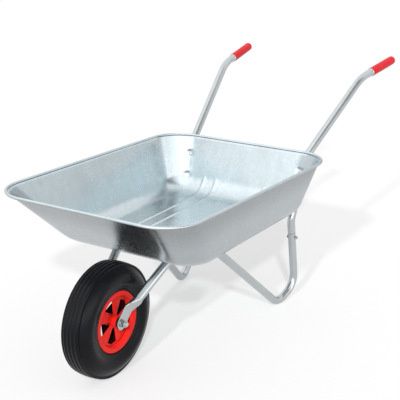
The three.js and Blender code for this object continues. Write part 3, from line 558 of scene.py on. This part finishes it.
def pressed(points, normals):
    """Moves points of the sheet's outer face along the inward normals where it is pressed."""
    moved = points.copy()
    x, y, z = points.T - np.array([[TRAY_MIDDLE], [0], [0]])
    up = z - FLOOR_HEIGHT
    rear = smooth((RIB_CLIMB - up) / 0.014) * (x < 0) + (x >= 0) * smooth((RIB_FRONT - x) / 0.03)
    rib = np.zeros(len(points))
    for place in RIB_PLACES:
        distance = np.abs(np.abs(y) - place) / RIB_HALF
        rib = np.maximum(rib, np.where(distance < 1, np.cos(distance * math.pi / 2) ** 2, 0))
    floor = np.abs(normals[:, 1]) < 0.35
    keep = np.ones(len(points))
    dent = np.zeros(len(points))
    for _, side in SIDES:
        for name, (middle, inward) in TRAY_BOLTS.items():
            seat = on_side(side, middle) + inward * (TUBE + GAP)
            away = points - seat
            height = away @ inward
            distance = np.linalg.norm(away - np.outer(height, inward), axis=1)
            near = np.abs(height) < 0.02
            flat = PAD_DEPTH * (1 - smooth((distance - PAD_RADIUS) / (PAD_FLARE * 1.5)))
            dent = np.where(near, np.maximum(dent, flat), dent)
            keep = np.where(near, np.minimum(keep, smooth((distance - PAD_RADIUS - 0.004) / 0.012)), keep)
        top, low = (on_side(side, TRAY_BOLTS[n][0]) for n in ("upper_wall", "lower_wall"))
        along = unit(low - top)
        length = np.linalg.norm(low - top)
        t = (points - top) @ along
        inward_part = np.outer((points - top) @ WALL_INWARD, WALL_INWARD)
        across = np.linalg.norm(points - top - np.outer(t, along) - inward_part, axis=1)
        ends = smooth((t - CHANNEL_END) / 0.006) * smooth((length - CHANNEL_END - t) / 0.006)
        channel = (1 - smooth((across - CHANNEL_HALF) / 0.007)) * ends
        dent = np.maximum(dent, CHANNEL_DEPTH * channel * (x < 0) * (up > 0.02))
    amount = RIB_RISE * rib * rear * keep * floor - dent
    moved += normals * amount[:, None]
    return moved


def surface_normals(grid):
    """Normals of a grid of rings (rings, points, 3), with the rings closed. They point into the tray."""
    along = np.roll(grid, -1, 1) - np.roll(grid, 1, 1)
    down = np.gradient(grid, axis=0)
    normals = np.cross(along, down)
    length = np.linalg.norm(normals, axis=2, keepdims=True)
    normals = normals / np.maximum(length, 1e-12)
    return normals * np.where(normals[..., 2:] < 0, -1, 1)


def tray_sheet():
    depths = [i / WALL_STEPS for i in range(WALL_STEPS)]
    depths += [1 + i / CURVE_STEPS for i in range(CURVE_STEPS + 1)]
    rings = [tray_ring(d) for d in depths]
    edge = rings[-1]
    low, high = edge[:, 0].min(), edge[:, 0].max()
    half = edge[:, 1].max()
    core = edge.copy()
    core[:, 0] = np.clip(edge[:, 0], low + half, high - half)
    core[:, 1] = 0
    for i in range(1, FLOOR_STEPS + 1):
        rings.append(lerp(edge, core, i / FLOOR_STEPS * 0.985))
    grid = np.array(rings)
    normals = surface_normals(grid)
    shape = grid.shape
    outer = pressed(grid.reshape(-1, 3), normals.reshape(-1, 3)).reshape(shape)
    real_normals = surface_normals(outer)
    inner = outer + real_normals * SHEET
    curl = [rad(a) for a in np.linspace(215, -100, 22)]
    tight = [bead_ring((BEAD_RADIUS - SHEET) * math.cos(a), (BEAD_RADIUS - SHEET) * math.sin(a)) for a in curl]
    loose = [bead_ring(BEAD_RADIUS * math.cos(a), BEAD_RADIUS * math.sin(a)) for a in curl]
    stack = list(outer[::-1]) + tight + loose[::-1] + list(inner)
    verts, faces = loft(stack, caps=False)
    count = len(edge)
    # the two faces of the floor close along the middle line, where each point meets its mirror image
    last = outer[-1]
    mirror = [int(np.argmin(np.abs(last[:, 0] - p[0]) + 10 * np.abs(last[:, 1] + p[1]))) for p in last]
    for base in (0, (len(stack) - 1) * count):
        for j in range(count):
            k = (j + 1) % count
            if last[j][1] > 0 and last[k][1] > 0:
                faces.append((base + j, base + k, base + mirror[k], base + mirror[j]))
    return verts, faces


# ---- tubes ----

SOCKET_DEPTH, PLUG_LENGTH = 0.055, 0.042

def frame_tube(side):
    flat_half = math.pi * (TUBE - TUBE_WALL / 2) / 2 + TUBE_WALL / 2
    run = bent_path(FRAME, FRAME_BENDS)[:-1]
    rings = [section(s, TUBE) for s in run]
    arm = unit(FORK_STEP - RUN_END)

    def place(distance, y):
        return AXLE - FORK_DIRECTION * distance + vec(0, y, 0)

    steps = 18
    for i in range(steps + 1):
        share = float(smooth(i / steps))
        distance = lerp(FORK_STEP_START, FORK_STEP_END, i / steps)
        tangent = unit(lerp(arm, FORK_DIRECTION, min(1, i / 4)))
        station = (place(distance, lerp(FORK_HALF_GAP, PLATE_Y, share)), tangent)
        thick, wide = lerp(TUBE, FORK_PLATE / 2, share), lerp(TUBE, flat_half, share)
        rings.append(section(station, thick, wide, lerp(1, 4, share)))
    for angle in (0, 12, 24, 36, 48, 60, 70, 78, 84, 88):
        station = (place(-flat_half * math.sin(rad(angle)), PLATE_Y), FORK_DIRECTION)
        rings.append(section(station, FORK_PLATE / 2, flat_half * math.cos(rad(angle)), 4))
    first, second = run[0], (run[0][0] - LEG_UP * SOCKET_DEPTH, run[0][1])
    edge = 0.0004
    bevel = [section((first[0] + run[0][1] * edge, first[1]), TUBE), section(first, TUBE - edge)]
    rings = [section(second, TUBE - TUBE_WALL), section(first, TUBE - TUBE_WALL)] + bevel[::-1] + rings[1:]
    return loft([on_side(side, r) for r in rings])


# The bead that stops the grip, as (distance past the grip's mouth, rise above the tube)
STOP_BEAD = ((-0.002, 0), (0.0006, 0), (0.0012, 0.0009), (0.0022, 0.0017), (0.0042, 0.0018),
             (0.0056, 0.0012), (0.0066, 0.0003), (0.0074, 0))


def handle_tube(side):
    run = bent_path(HANDLE, HANDLE_BENDS)
    plug = TUBE - TUBE_WALL - GAP
    back = unit(HANDLE_END - UPPER_BEND)
    mouth = HANDLE_END - back * (GRIP_LENGTH - 0.004)
    rings = [section(run[0], TUBE - 0.001)]
    forward = -back
    rings.append(section((run[0][0] + forward * 0.001, run[0][1]), TUBE))
    for distance, swell in STOP_BEAD:
        rings.append(section((mouth + forward * distance, run[0][1]), TUBE + swell))
    rings += [section(s, TUBE) for s in run[1:-1]]
    end = run[-1]
    rings.append(section((end[0] + LEG_UP * 0.0012, end[1]), TUBE))
    rings.append(section((end[0] + LEG_UP * 0.0004, end[1]), TUBE - 0.0004))
    rings.append(section(end, plug + 0.0002))
    rings.append(section((end[0] - LEG_UP * 0.0008, end[1]), plug))
    rings.append(section((end[0] - LEG_UP * PLUG_LENGTH, end[1]), plug))
    return loft([on_side(side, r) for r in rings])


# ---- grips ----

GRIP_LENGTH, GRIP_RADIUS = 0.150, 0.0143
RIBS_START, RIBS_END, RIBS_FADE = 0.010, 0.136, 0.008
RIBS_PITCH, RIBS_DEPTH = 0.0105, 0.0008


def grip_sleeve(side):
    """A moulded sleeve with a lip at its mouth, a plain top and shallow ribs underneath."""
    back = unit(on_side(side, HANDLE_END) - on_side(side, UPPER_BEND))
    tube_end = GRIP_LENGTH - 0.004
    mouth = on_side(side, HANDLE_END) - back * tube_end
    across = unit(np.cross(UP, back))
    over = np.cross(back, across)
    bore = TUBE + GAP
    profile = [(bore, 0.0), (GRIP_RADIUS + 0.0001, 0.0), (GRIP_RADIUS + 0.0008, 0.0006),
               (GRIP_RADIUS + 0.0009, 0.0024), (GRIP_RADIUS + 0.0002, 0.0034)]
    body_end = GRIP_LENGTH - 0.0075
    for i in range(1, 91):
        profile.append((GRIP_RADIUS, lerp(0.0034, body_end, i / 90)))
    for angle in range(6, 90, 7):
        r, a = 0.0075, rad(angle)
        profile.append((GRIP_RADIUS - r + r * math.sin(math.pi / 2 - a), body_end + r * math.sin(a)))
    profile += [(0.0012, GRIP_LENGTH), (0.0012, tube_end + GAP), (bore, tube_end + GAP)]
    rings = []
    for r, h in profile:
        ring = []
        fade = 0
        if r > bore + 0.0002 and RIBS_START < h < RIBS_END:
            fade = float(smooth((h - RIBS_START) / RIBS_FADE) * smooth((RIBS_END - h) / RIBS_FADE))
        for i in range(48):
            angle = 2 * math.pi * i / 48
            under = max(0.0, -math.sin(angle)) ** 0.7
            wave = 0.5 + 0.5 * math.cos(2 * math.pi * (h - RIBS_START) / RIBS_PITCH)
            radius = r + fade * under * (RIBS_DEPTH * wave - 0.0002)
            ring.append(mouth + back * h + (across * math.cos(angle) + over * math.sin(angle)) * radius)
        rings.append(ring)
    return loft(rings, closed=True)


# ---- fasteners ----


def threaded(radius, start, end, pitch):
    """Profile of a thread from one height to another."""
    depth = pitch * 0.55
    profile = []
    count = max(1, int(abs(end - start) / pitch))
    step = (end - start) / count
    for i in range(count):
        profile += [(radius, start + step * i), (radius, start + step * (i + 0.2)),
                    (radius - depth, start + step * (i + 0.6))]
    profile += [(radius, end - step * 0.15), (radius - depth, end)]
    return profile


def cup_bolt(head, head_height, radius, length, thread, pitch, seat, towards):
    grooves = threaded(radius, length - thread, length, pitch)[::-1]
    profile = [(0.0004, -length - 0.0003)] + [(r, -h) for r, h in grooves]
    profile += [(radius, -(length - thread) + 0.001), (radius, 0), (head - 0.0004, 0), (head, 0.0004)]
    for i in range(1, 12):
        a = i / 12 * math.pi / 2
        profile.append((head * math.cos(a), 0.0004 + (head_height - 0.0004) * math.sin(a)))
    profile.append((0.0003, head_height))
    return lathe(profile, seat, towards, sides=40, closed=False)


def hexagonal(flats):
    half = flats / 2

    def shape(angle, r, h):
        local = (angle + math.pi / 6) % (math.pi / 3) - math.pi / 6
        return min(r, half / math.cos(local))

    return shape


def hex_nut(flats, bore, height, seat, towards):
    """A hexagon with its corners chamfered on both faces, and a bevelled bore."""
    corner = flats / math.sqrt(3)
    drop = height * 0.14
    inner = bore + 0.0002
    outline = [(corner - drop * 1.6, 0), (corner + 0.0001, drop), (corner + 0.0001, height - drop),
               (corner - drop * 1.6, height)]
    shape = hexagonal(flats)
    bore_profile = [(inner + 0.0005, height), (inner, height - 0.0006), (inner, 0.0006), (inner + 0.0005, 0)]
    profile = [(max(r, inner + 0.001), h) for r, h in outline] + bore_profile

    def limited(angle, r, h):
        return shape(angle, r, h) if r > inner + 0.0006 else r

    return lathe(profile, seat, towards, sides=72, shape=limited)


def disc_washer(radius, bore, height, seat, towards):
    c = 0.0003
    profile = [(bore, c), (bore + c, 0), (radius - c, 0), (radius, c), (radius, height - c),
               (radius - c, height), (bore + c, height), (bore, height - c)]
    return lathe(profile, seat, towards, sides=64)


# ---- wheel ----

FLANGE_Y = 0.0708 / 2
FLANGE_RADIUS, FLANGE_THICK = 0.087, 0.0036
SEAT_RADIUS, WELL_RADIUS, BARREL_RADIUS = 0.078, 0.073, 0.0685
DISC_FACE, DISC_THICK = 0.025, 0.004
HUB_RADIUS = 0.0165
WINDOWS, WINDOW_PHASE, WINDOW_HALF = 5, -5.4, 18.5
WINDOW_INNER, WINDOW_OUTER = 0.019, 0.066
WHEEL_SIDES = 180
EDGE_ROLL, FOLD_RISE, FOLD_BASE = 0.0009, 0.0022, 0.0012


def spin(profile, sides=WHEEL_SIDES):
    """A closed profile of [radius, y] turned about the axle."""
    rings = []
    for i in range(sides):
        a = 2 * math.pi * i / sides
        rings.append([AXLE + vec(r * math.cos(a), y, r * math.sin(a)) for r, y in profile])
    return loft(rings, closed=True)


def arc(cx, cy, r, start, end, steps=6):
    angles = [rad(lerp(start, end, i / steps)) for i in range(steps + 1)]
    return [(cx + r * math.cos(a), cy + r * math.sin(a)) for a in angles]


def rim_ring():
    """Barrel, bead seats and flat flanges of the rim, with rounded edges and a chamfered mouth."""
    inner = FLANGE_Y - FLANGE_THICK
    half = [(WELL_RADIUS, 0), (WELL_RADIUS, 0.010), (SEAT_RADIUS, 0.016), (SEAT_RADIUS, inner - 0.001),
            (SEAT_RADIUS + 0.001, inner), (FLANGE_RADIUS - 0.0008, inner)]
    half += arc(FLANGE_RADIUS - 0.0012, FLANGE_Y - 0.0012, 0.0012, 0, 90)
    half += [(BARREL_RADIUS + 0.0070, FLANGE_Y - 0.0002)]
    half += arc(BARREL_RADIUS + 0.0060, FLANGE_Y - 0.0012, 0.0010, 90, 160)[1:]
    half += [(BARREL_RADIUS + 0.0034, FLANGE_Y - 0.0055), (BARREL_RADIUS + 0.0010, FLANGE_Y - 0.0086)]
    half += [(BARREL_RADIUS - 0.0002, DISC_FACE), (BARREL_RADIUS - 0.001, 0.010), (BARREL_RADIUS - 0.001, 0.0)]
    other = [(r, -y) for r, y in half[::-1]]
    return spin(half + other[1:-1])


def rim_discs():
    """The blades of both discs, which leave the windows open between them."""
    parts = []
    step = 360 / WINDOWS
    for side in (1, -1):
        for index in range(WINDOWS):
            middle = WINDOW_PHASE + step * (index + 0.5)
            blade = (step - 2 * WINDOW_HALF) / 2
            parts.append(blade_body(side, middle, blade, step / 2 - WINDOW_HALF * 0.75))
    return parts


def blade_body(side, middle, outer_half, inner_half):
    """One blade from the hub to the barrel, with a soft fold along it and rounded edges."""
    rows, cols = 14, 16
    r0, r1 = HUB_RADIUS - 0.002, BARREL_RADIUS + 0.001
    top, bottom = [], []
    for i in range(rows + 1):
        r = lerp(r0, r1, i / rows)
        share = np.clip((r - WINDOW_INNER) / (WINDOW_OUTER - WINDOW_INNER), 0, 1)
        half = lerp(inner_half, outer_half, share)
        if r < WINDOW_INNER + 0.001 or r > WINDOW_OUTER - 0.0005:
            half = 180 / WINDOWS
        for j in range(cols + 1):
            t = -1 + 2 * j / cols
            angle = rad(middle + half * t)
            edge = 1 - abs(t)
            roll = EDGE_ROLL * (1 - min(1, edge * 6)) ** 2
            fold = FOLD_RISE * edge * math.sin(math.pi * share)
            y = DISC_FACE - FOLD_BASE + fold - roll
            top.append(AXLE + vec(r * math.cos(angle), side * y, r * math.sin(angle)))
            under = DISC_FACE - DISC_THICK + roll * 0.4
            bottom.append(AXLE + vec(r * math.cos(angle), side * under, r * math.sin(angle)))
    width = cols + 1
    count = len(top)
    faces = []
    for i in range(rows):
        for j in range(cols):
            a = i * width + j
            faces.append((a, a + 1, a + width + 1, a + width))
            faces.append((a + count, a + width + count, a + width + 1 + count, a + 1 + count))
    border = list(range(width)) + [i * width + cols for i in range(1, rows + 1)]
    border += [rows * width + j for j in range(cols - 1, -1, -1)] + [i * width for i in range(rows - 1, 0, -1)]
    for a, b in zip(border, border[1:] + border[:1]):
        faces.append((b, a, a + count, b + count))
    return top + bottom, faces


def hub_body():
    bore = 0.0113
    profile = [(bore, -HUB_HALF), (HUB_RADIUS - 0.0008, -HUB_HALF), (HUB_RADIUS, -HUB_HALF + 0.0008),
               (HUB_RADIUS, HUB_HALF - 0.0008), (HUB_RADIUS - 0.0008, HUB_HALF), (bore, HUB_HALF)]
    return spin(profile, 64)


# Half a groove of the tread, as (distance from its middle in pitches, depth)
GROOVE = ((0.30, 0), (0.24, 0.0006), (0.15, 0.0027), (0.08, 0.003))


def tyre_profile():
    """Smooth round sidewalls, a step at the rim and a tread with grooves all the way round."""
    bead = FLANGE_Y - FLANGE_THICK - GAP
    half = [(SEAT_RADIUS + GAP, bead - 0.009), (SEAT_RADIUS + GAP, bead - 0.0005), (SEAT_RADIUS + 0.001, bead),
            (FLANGE_RADIUS + 0.0006, bead)]
    half += [(FLANGE_RADIUS + 0.0014, bead + 0.0012), (FLANGE_RADIUS + 0.0022, FLANGE_Y + 0.0002),
             (FLANGE_RADIUS + 0.0034, FLANGE_Y + 0.0016), (FLANGE_RADIUS + 0.0052, FLANGE_Y + 0.0021),
             (FLANGE_RADIUS + 0.0068, FLANGE_Y + 0.0017), (FLANGE_RADIUS + 0.0078, FLANGE_Y + 0.0022)]
    low, shoulder = FLANGE_RADIUS + 0.004, TYRE_RADIUS - 0.005
    for i in range(1, 26):
        share = lerp(0.14, 0.985, i / 26)
        bulge = math.sin(math.pi * lerp(0.2, 0.85, share)) ** 0.8
        y = TYRE_WIDTH / 2 * bulge
        ridge = sum(0.0005 * math.exp(-(((share - at) / 0.012) ** 2)) for at in (0.16, 0.86))
        half.append((lerp(low, shoulder, share), y + ridge))
    tread = []
    tread_half, grooves = 0.031, 5
    pitch = 2 * tread_half / grooves

    def crown(y):
        return TYRE_RADIUS - 0.003 * (y / tread_half) ** 2

    for i in range(grooves):
        centre = tread_half - pitch * (i + 0.5)
        for offset, down in GROOVE + tuple((-at, down) for at, down in GROOVE[::-1]):
            y = centre + pitch * offset
            tread.append((crown(y) - down, y))
    outside = half + tread + [(r, -y) for r, y in half[::-1]]
    centre = (SEAT_RADIUS + TYRE_RADIUS - 0.008) / 2
    height, width = TYRE_RADIUS - 0.008 - centre, TYRE_WIDTH / 2 - 0.005
    inside = [(centre + height * math.sin(rad(a)), width * math.cos(rad(a))) for a in np.linspace(210, -30, 33)]
    return outside + inside


# ---- pieces ----

M6_RADIUS, M6_PITCH, M6_THREAD = 0.003, 0.001, 0.012
M6_NUT_FLATS, M6_NUT_HEIGHT = 0.010, 0.005
M6_TIP = 0.003
LEG_BOLT_DROP = 0.015
TRAY_HEAD, TRAY_HEAD_HEIGHT = 0.0075, 0.0026
LEG_HEAD, LEG_HEAD_HEIGHT = 0.0066, 0.0042
AXLE_RADIUS, AXLE_BORE, AXLE_PITCH = 0.006, 0.00635, 0.00175
AXLE_FLATS, AXLE_HEAD, AXLE_NUT, AXLE_TIP = 0.019, 0.0075, 0.010, 0.0055
WASHER_RADIUS, WASHER_HEIGHT, SPACER_RADIUS = 0.012, 0.002, 0.0095


def frame_piece(name, shape, material, slot, stands_for, **options):
    make_piece(name, *shape, material, "frame", slot, [stands_for], **options)


# Faces turned downwards, the sheet's outside, take the darker metal with painted shade
frame_piece("tray_sheet", tray_sheet(), [SHEET_METAL, SHADED_OUTER_METAL], "sheet", "tray", sharp=50,
            face_material=lambda face: int(face.normal.z < -0.05))
for side_name, side in SIDES:
    frame_piece(f"{side_name}_handle_bar", handle_tube(side), TUBE_METAL, "tube", f"{side_name}_handle_tube")
    frame_piece(f"{side_name}_frame_bar", frame_tube(side), TUBE_METAL, "tube", f"{side_name}_frame_tube")
    frame_piece(f"{side_name}_grip_sleeve", grip_sleeve(side), GRIP_PLASTIC, "grip", f"{side_name}_grip", sharp=60)
    for bolt_name, (middle, inward) in TRAY_BOLTS.items():
        centre = on_side(side, middle)
        length = 2 * TUBE + SHEET + 3 * GAP + M6_NUT_HEIGHT + M6_TIP
        bolt = cup_bolt(TRAY_HEAD, TRAY_HEAD_HEIGHT, M6_RADIUS, length, M6_THREAD, M6_PITCH,
                        centre + inward * (TUBE + SHEET + 2 * GAP), inward)
        frame_piece(f"{side_name}_{bolt_name}_cup_bolt", bolt, BOLT_METAL, "bolt", f"{side_name}_{bolt_name}_bolt")
        nut = hex_nut(M6_NUT_FLATS, M6_RADIUS, M6_NUT_HEIGHT, centre - inward * (TUBE + GAP), -inward)
        frame_piece(f"{side_name}_{bolt_name}_hex_nut", nut, BOLT_METAL, "bolt", f"{side_name}_{bolt_name}_nut")
    centre = on_side(side, LEG_TOP - LEG_UP * LEG_BOLT_DROP)
    outward = vec(0, side, 0)
    length = 2 * TUBE + 2 * GAP + M6_NUT_HEIGHT + M6_TIP
    bolt = cup_bolt(LEG_HEAD, LEG_HEAD_HEIGHT, M6_RADIUS, length, M6_THREAD, M6_PITCH,
                    centre - outward * (TUBE + GAP), -outward)
    frame_piece(f"{side_name}_leg_cup_bolt", bolt, BOLT_METAL, "bolt", f"{side_name}_leg_bolt")
    nut = hex_nut(M6_NUT_FLATS, M6_RADIUS, M6_NUT_HEIGHT, centre + outward * (TUBE + GAP), outward)
    frame_piece(f"{side_name}_leg_hex_nut", nut, BOLT_METAL, "bolt", f"{side_name}_leg_nut")
    plate = AXLE + outward * (PLATE_Y + FORK_PLATE / 2 + GAP)
    washer = disc_washer(WASHER_RADIUS, AXLE_BORE, WASHER_HEIGHT, plate, outward)
    frame_piece(f"{side_name}_axle_disc_washer", washer, BOLT_METAL, "bolt", f"{side_name}_axle_washer")
    start = AXLE + outward * SPACER_START
    spacer = disc_washer(SPACER_RADIUS, AXLE_BORE, SPACER_LENGTH, start, outward)
    frame_piece(f"{side_name}_axle_sleeve", spacer, BOLT_METAL, "bolt", f"{side_name}_axle_spacer")

WASHER_OUTER = PLATE_Y + FORK_PLATE / 2 + GAP + WASHER_HEIGHT
NUT_OUTER = WASHER_OUTER + GAP + AXLE_NUT
right, left = vec(0, -1, 0), vec(0, 1, 0)


def axle_head():
    """The hexagon head, chamfered on its outer face only."""
    hexagon = hexagonal(AXLE_FLATS)
    corner = AXLE_FLATS / math.sqrt(3)
    profile = [(0.0008, 0), (corner, 0), (corner + 0.0001, 0.0001), (corner + 0.0001, 0.0063),
               (corner - 0.0019, AXLE_HEAD), (0.0008, AXLE_HEAD)]

    def limited(angle, r, h):
        return hexagon(angle, r, h) if r > 0.002 else r

    return lathe(profile, AXLE + right * (WASHER_OUTER + GAP), right, sides=72, shape=limited, closed=False)


def axle_shank():
    end, seat = NUT_OUTER + AXLE_TIP, -(WASHER_OUTER + GAP)
    profile = [(AXLE_RADIUS - 0.0004, seat - 0.001), (AXLE_RADIUS, seat), (AXLE_RADIUS, end - 0.020)]
    profile += threaded(AXLE_RADIUS, end - 0.0195, end - 0.0008, AXLE_PITCH)
    profile += [(0.0044, end - 0.0002), (0.004, end), (0.0004, end)]
    return lathe(profile, AXLE, left, sides=48, closed=False)


frame_piece("axle_hex_bolt", merged(axle_head(), axle_shank()), BOLT_METAL, "bolt", "axle_bolt", sharp=32)
nut = hex_nut(AXLE_FLATS, AXLE_RADIUS, AXLE_NUT, AXLE + left * (WASHER_OUTER + GAP), left)
frame_piece("axle_hex_nut", nut, BOLT_METAL, "bolt", "axle_nut", sharp=32)


def rim_face(face):
    """The faces behind the blades take the near-black plastic, painted shade for the recess between the discs."""
    radius = math.hypot(face.center.x - AXLE[0], face.center.z - AXLE[2])
    return int(HUB_RADIUS + 0.001 < radius < BARREL_RADIUS and abs(face.center.y) < DISC_FACE - 0.002)


make_piece("wheel_rim_moulding", *merged(rim_ring(), hub_body(), *rim_discs()), [RIM_PLASTIC, RIM_SHADE],
           "wheel", "rim", ["wheel_rim"], sharp=35, face_material=rim_face)
make_piece("tyre_cover", *spin(tyre_profile(), 220), TYRE_RUBBER, "wheel", "tyre", ["tyre"], sharp=50)

for name, material in (("inner_tube", TUBE_RUBBER), ("valve_stem", BRASS), ("valve_cap", BUSH_PLASTIC),
                       ("left_wheel_bush", BUSH_PLASTIC), ("right_wheel_bush", BUSH_PLASTIC)):
    obj = frame["nodes"][name]
    obj.data.materials.clear()
    obj.data.materials.append(material)

# ---- floor, light and camera ----


FLOOR_SHADE, FLOOR_SEEN, FLOOR_GLOW = 0.62, 0.50, 0.485
FLOOR_IN_REFLECTIONS = 0.8


def floor():
    """A floor that the camera sees as white, and that reflections see mostly so."""
    mesh = bpy.data.meshes.new("floor")
    size = 30
    corners = [(-size, -size, 0), (size, -size, 0), (size, size, 0), (-size, size, 0)]
    mesh.from_pydata(corners, [], [(0, 1, 2, 3)])
    obj = bpy.data.objects.new("floor", mesh)
    bpy.context.scene.collection.objects.link(obj)
    obj.location.z = -0.0003
    material, nodes, links, shader = new_material("floor")
    shader.inputs["Base Color"].default_value = (*grey(FLOOR_SHADE), 1)
    shader.inputs["Roughness"].default_value = 1.0
    shader.inputs["Specular IOR Level"].default_value = 0.0
    seen = nodes.new("ShaderNodeBsdfDiffuse")
    seen.inputs["Color"].default_value = (*grey(FLOOR_SEEN), 1)
    glow = nodes.new("ShaderNodeEmission")
    glow.inputs["Strength"].default_value = FLOOR_GLOW
    both = nodes.new("ShaderNodeAddShader")
    links.new(seen.outputs[0], both.inputs[0])
    links.new(glow.outputs[0], both.inputs[1])
    path = nodes.new("ShaderNodeLightPath")
    direct = nodes.new("ShaderNodeMath")
    direct.operation = "MULTIPLY_ADD"
    direct.inputs[1].default_value = FLOOR_IN_REFLECTIONS
    links.new(path.outputs["Is Glossy Ray"], direct.inputs[0])
    links.new(path.outputs["Is Camera Ray"], direct.inputs[2])
    choice = nodes.new("ShaderNodeMixShader")
    links.new(direct.outputs[0], choice.inputs[0])
    links.new(shader.outputs[0], choice.inputs[1])
    links.new(both.outputs[0], choice.inputs[2])
    links.new(choice.outputs[0], nodes["Material Output"].inputs["Surface"])
    mesh.materials.append(material)


floor()


# Brightness that reflections see, as (degrees from +X towards +Y, strength), low down and high up
STUDIO = ((-180, 0.5), (-150, 0.95), (-95, 1.0), (-60, 1.0), (-40, 0.9), (-31, 0.95), (-28, 1.6),
          (-22, 1.9), (-12, 2.2), (30, 2.4), (60, 2.6), (96, 2.6), (108, 0.9), (135, 0.95),
          (150, 0.95), (162, 0.5), (180, 0.5))
STUDIO_HIGH = ((-180, 1.1), (-60, 1.5), (-10, 1.8), (40, 1.7), (70, 1.0), (90, 0.4), (112, 0.4),
               (135, 1.2), (160, 1.2), (180, 1.1))
STUDIO_PEAK = 2.6
HIGH_FROM = (0.28, 0.5)  # where the low row gives way to the high one, as heights on the unit sphere
AMBIENT = 0.6


def world():
    """White to the camera, plain to diffuse light, and to reflections a studio with one broad bright side."""
    made = bpy.data.worlds.new("studio")
    made.use_nodes = True
    bpy.context.scene.world = made
    made.cycles.sampling_method = "NONE"
    nodes, links = made.node_tree.nodes, made.node_tree.links
    background = nodes["Background"]
    background.inputs["Color"].default_value = (1, 1, 1, 1)
    direction = nodes.new("ShaderNodeSeparateXYZ")
    links.new(nodes.new("ShaderNodeTexCoord").outputs["Generated"], direction.inputs[0])
    turn = nodes.new("ShaderNodeMath")
    turn.operation = "ARCTAN2"
    links.new(direction.outputs["Y"], turn.inputs[0])
    links.new(direction.outputs["X"], turn.inputs[1])
    share = nodes.new("ShaderNodeMapRange")
    share.inputs["From Min"].default_value = -math.pi
    share.inputs["From Max"].default_value = math.pi
    links.new(turn.outputs[0], share.inputs["Value"])
    high = nodes.new("ShaderNodeMapRange")
    high.inputs["From Min"].default_value, high.inputs["From Max"].default_value = HIGH_FROM
    links.new(direction.outputs["Z"], high.inputs["Value"])
    overhead = nodes.new("ShaderNodeMix")
    links.new(high.outputs["Result"], overhead.inputs["Factor"])
    for socket, stops in ((2, STUDIO), (3, STUDIO_HIGH)):
        strip = ramp(nodes, [((a + 180) / 360, grey(v / STUDIO_PEAK)) for a, v in stops])
        links.new(share.outputs["Result"], strip.inputs["Fac"])
        level = nodes.new("ShaderNodeMath")
        level.operation = "MULTIPLY"
        level.inputs[1].default_value = STUDIO_PEAK
        links.new(strip.outputs["Color"], level.inputs[0])
        links.new(level.outputs[0], overhead.inputs[socket])
    path = nodes.new("ShaderNodeLightPath")
    shown = nodes.new("ShaderNodeMix")
    shown.inputs[2].default_value = AMBIENT
    links.new(path.outputs["Is Glossy Ray"], shown.inputs["Factor"])
    links.new(overhead.outputs[0], shown.inputs[3])
    seen = nodes.new("ShaderNodeMix")
    seen.inputs[3].default_value = 1.0
    links.new(path.outputs["Is Camera Ray"], seen.inputs["Factor"])
    links.new(shown.outputs[0], seen.inputs[2])
    links.new(seen.outputs[0], background.inputs["Strength"])


world()


def sun(name, towards, strength, softness):
    data = bpy.data.lights.new(name, "SUN")
    data.energy = strength
    data.angle = rad(softness)
    obj = bpy.data.objects.new(name, data)
    obj.visible_glossy = False  # the metal takes its highlights from the world alone
    bpy.context.scene.collection.objects.link(obj)
    obj.rotation_mode = "QUATERNION"
    obj.rotation_quaternion = Vector(towards).to_track_quat("-Z", "Y")


sun("key", (-1.85, -0.35, -1.0), 1.4, 3)
sun("second_key", (-1.25, -0.80, -1.0), 1.4, 3)

camera_data = bpy.data.cameras.new("camera")
camera = bpy.data.objects.new("camera", camera_data)
bpy.context.scene.collection.objects.link(camera)
camera.location = (2.3888, 1.4458, 1.2696)
yaw, pitch = rad(-147.89), rad(-18.27)
forward = Vector((math.cos(pitch) * math.cos(yaw), math.cos(pitch) * math.sin(yaw), math.sin(pitch)))
camera.rotation_mode = "QUATERNION"
camera.rotation_quaternion = forward.to_track_quat("-Z", "Y")
camera_data.lens = 84.02
camera_data.sensor_width = 36
camera_data.clip_end = 200
bpy.context.scene.camera = camera
bpy.context.scene.view_settings.view_transform = "Standard"
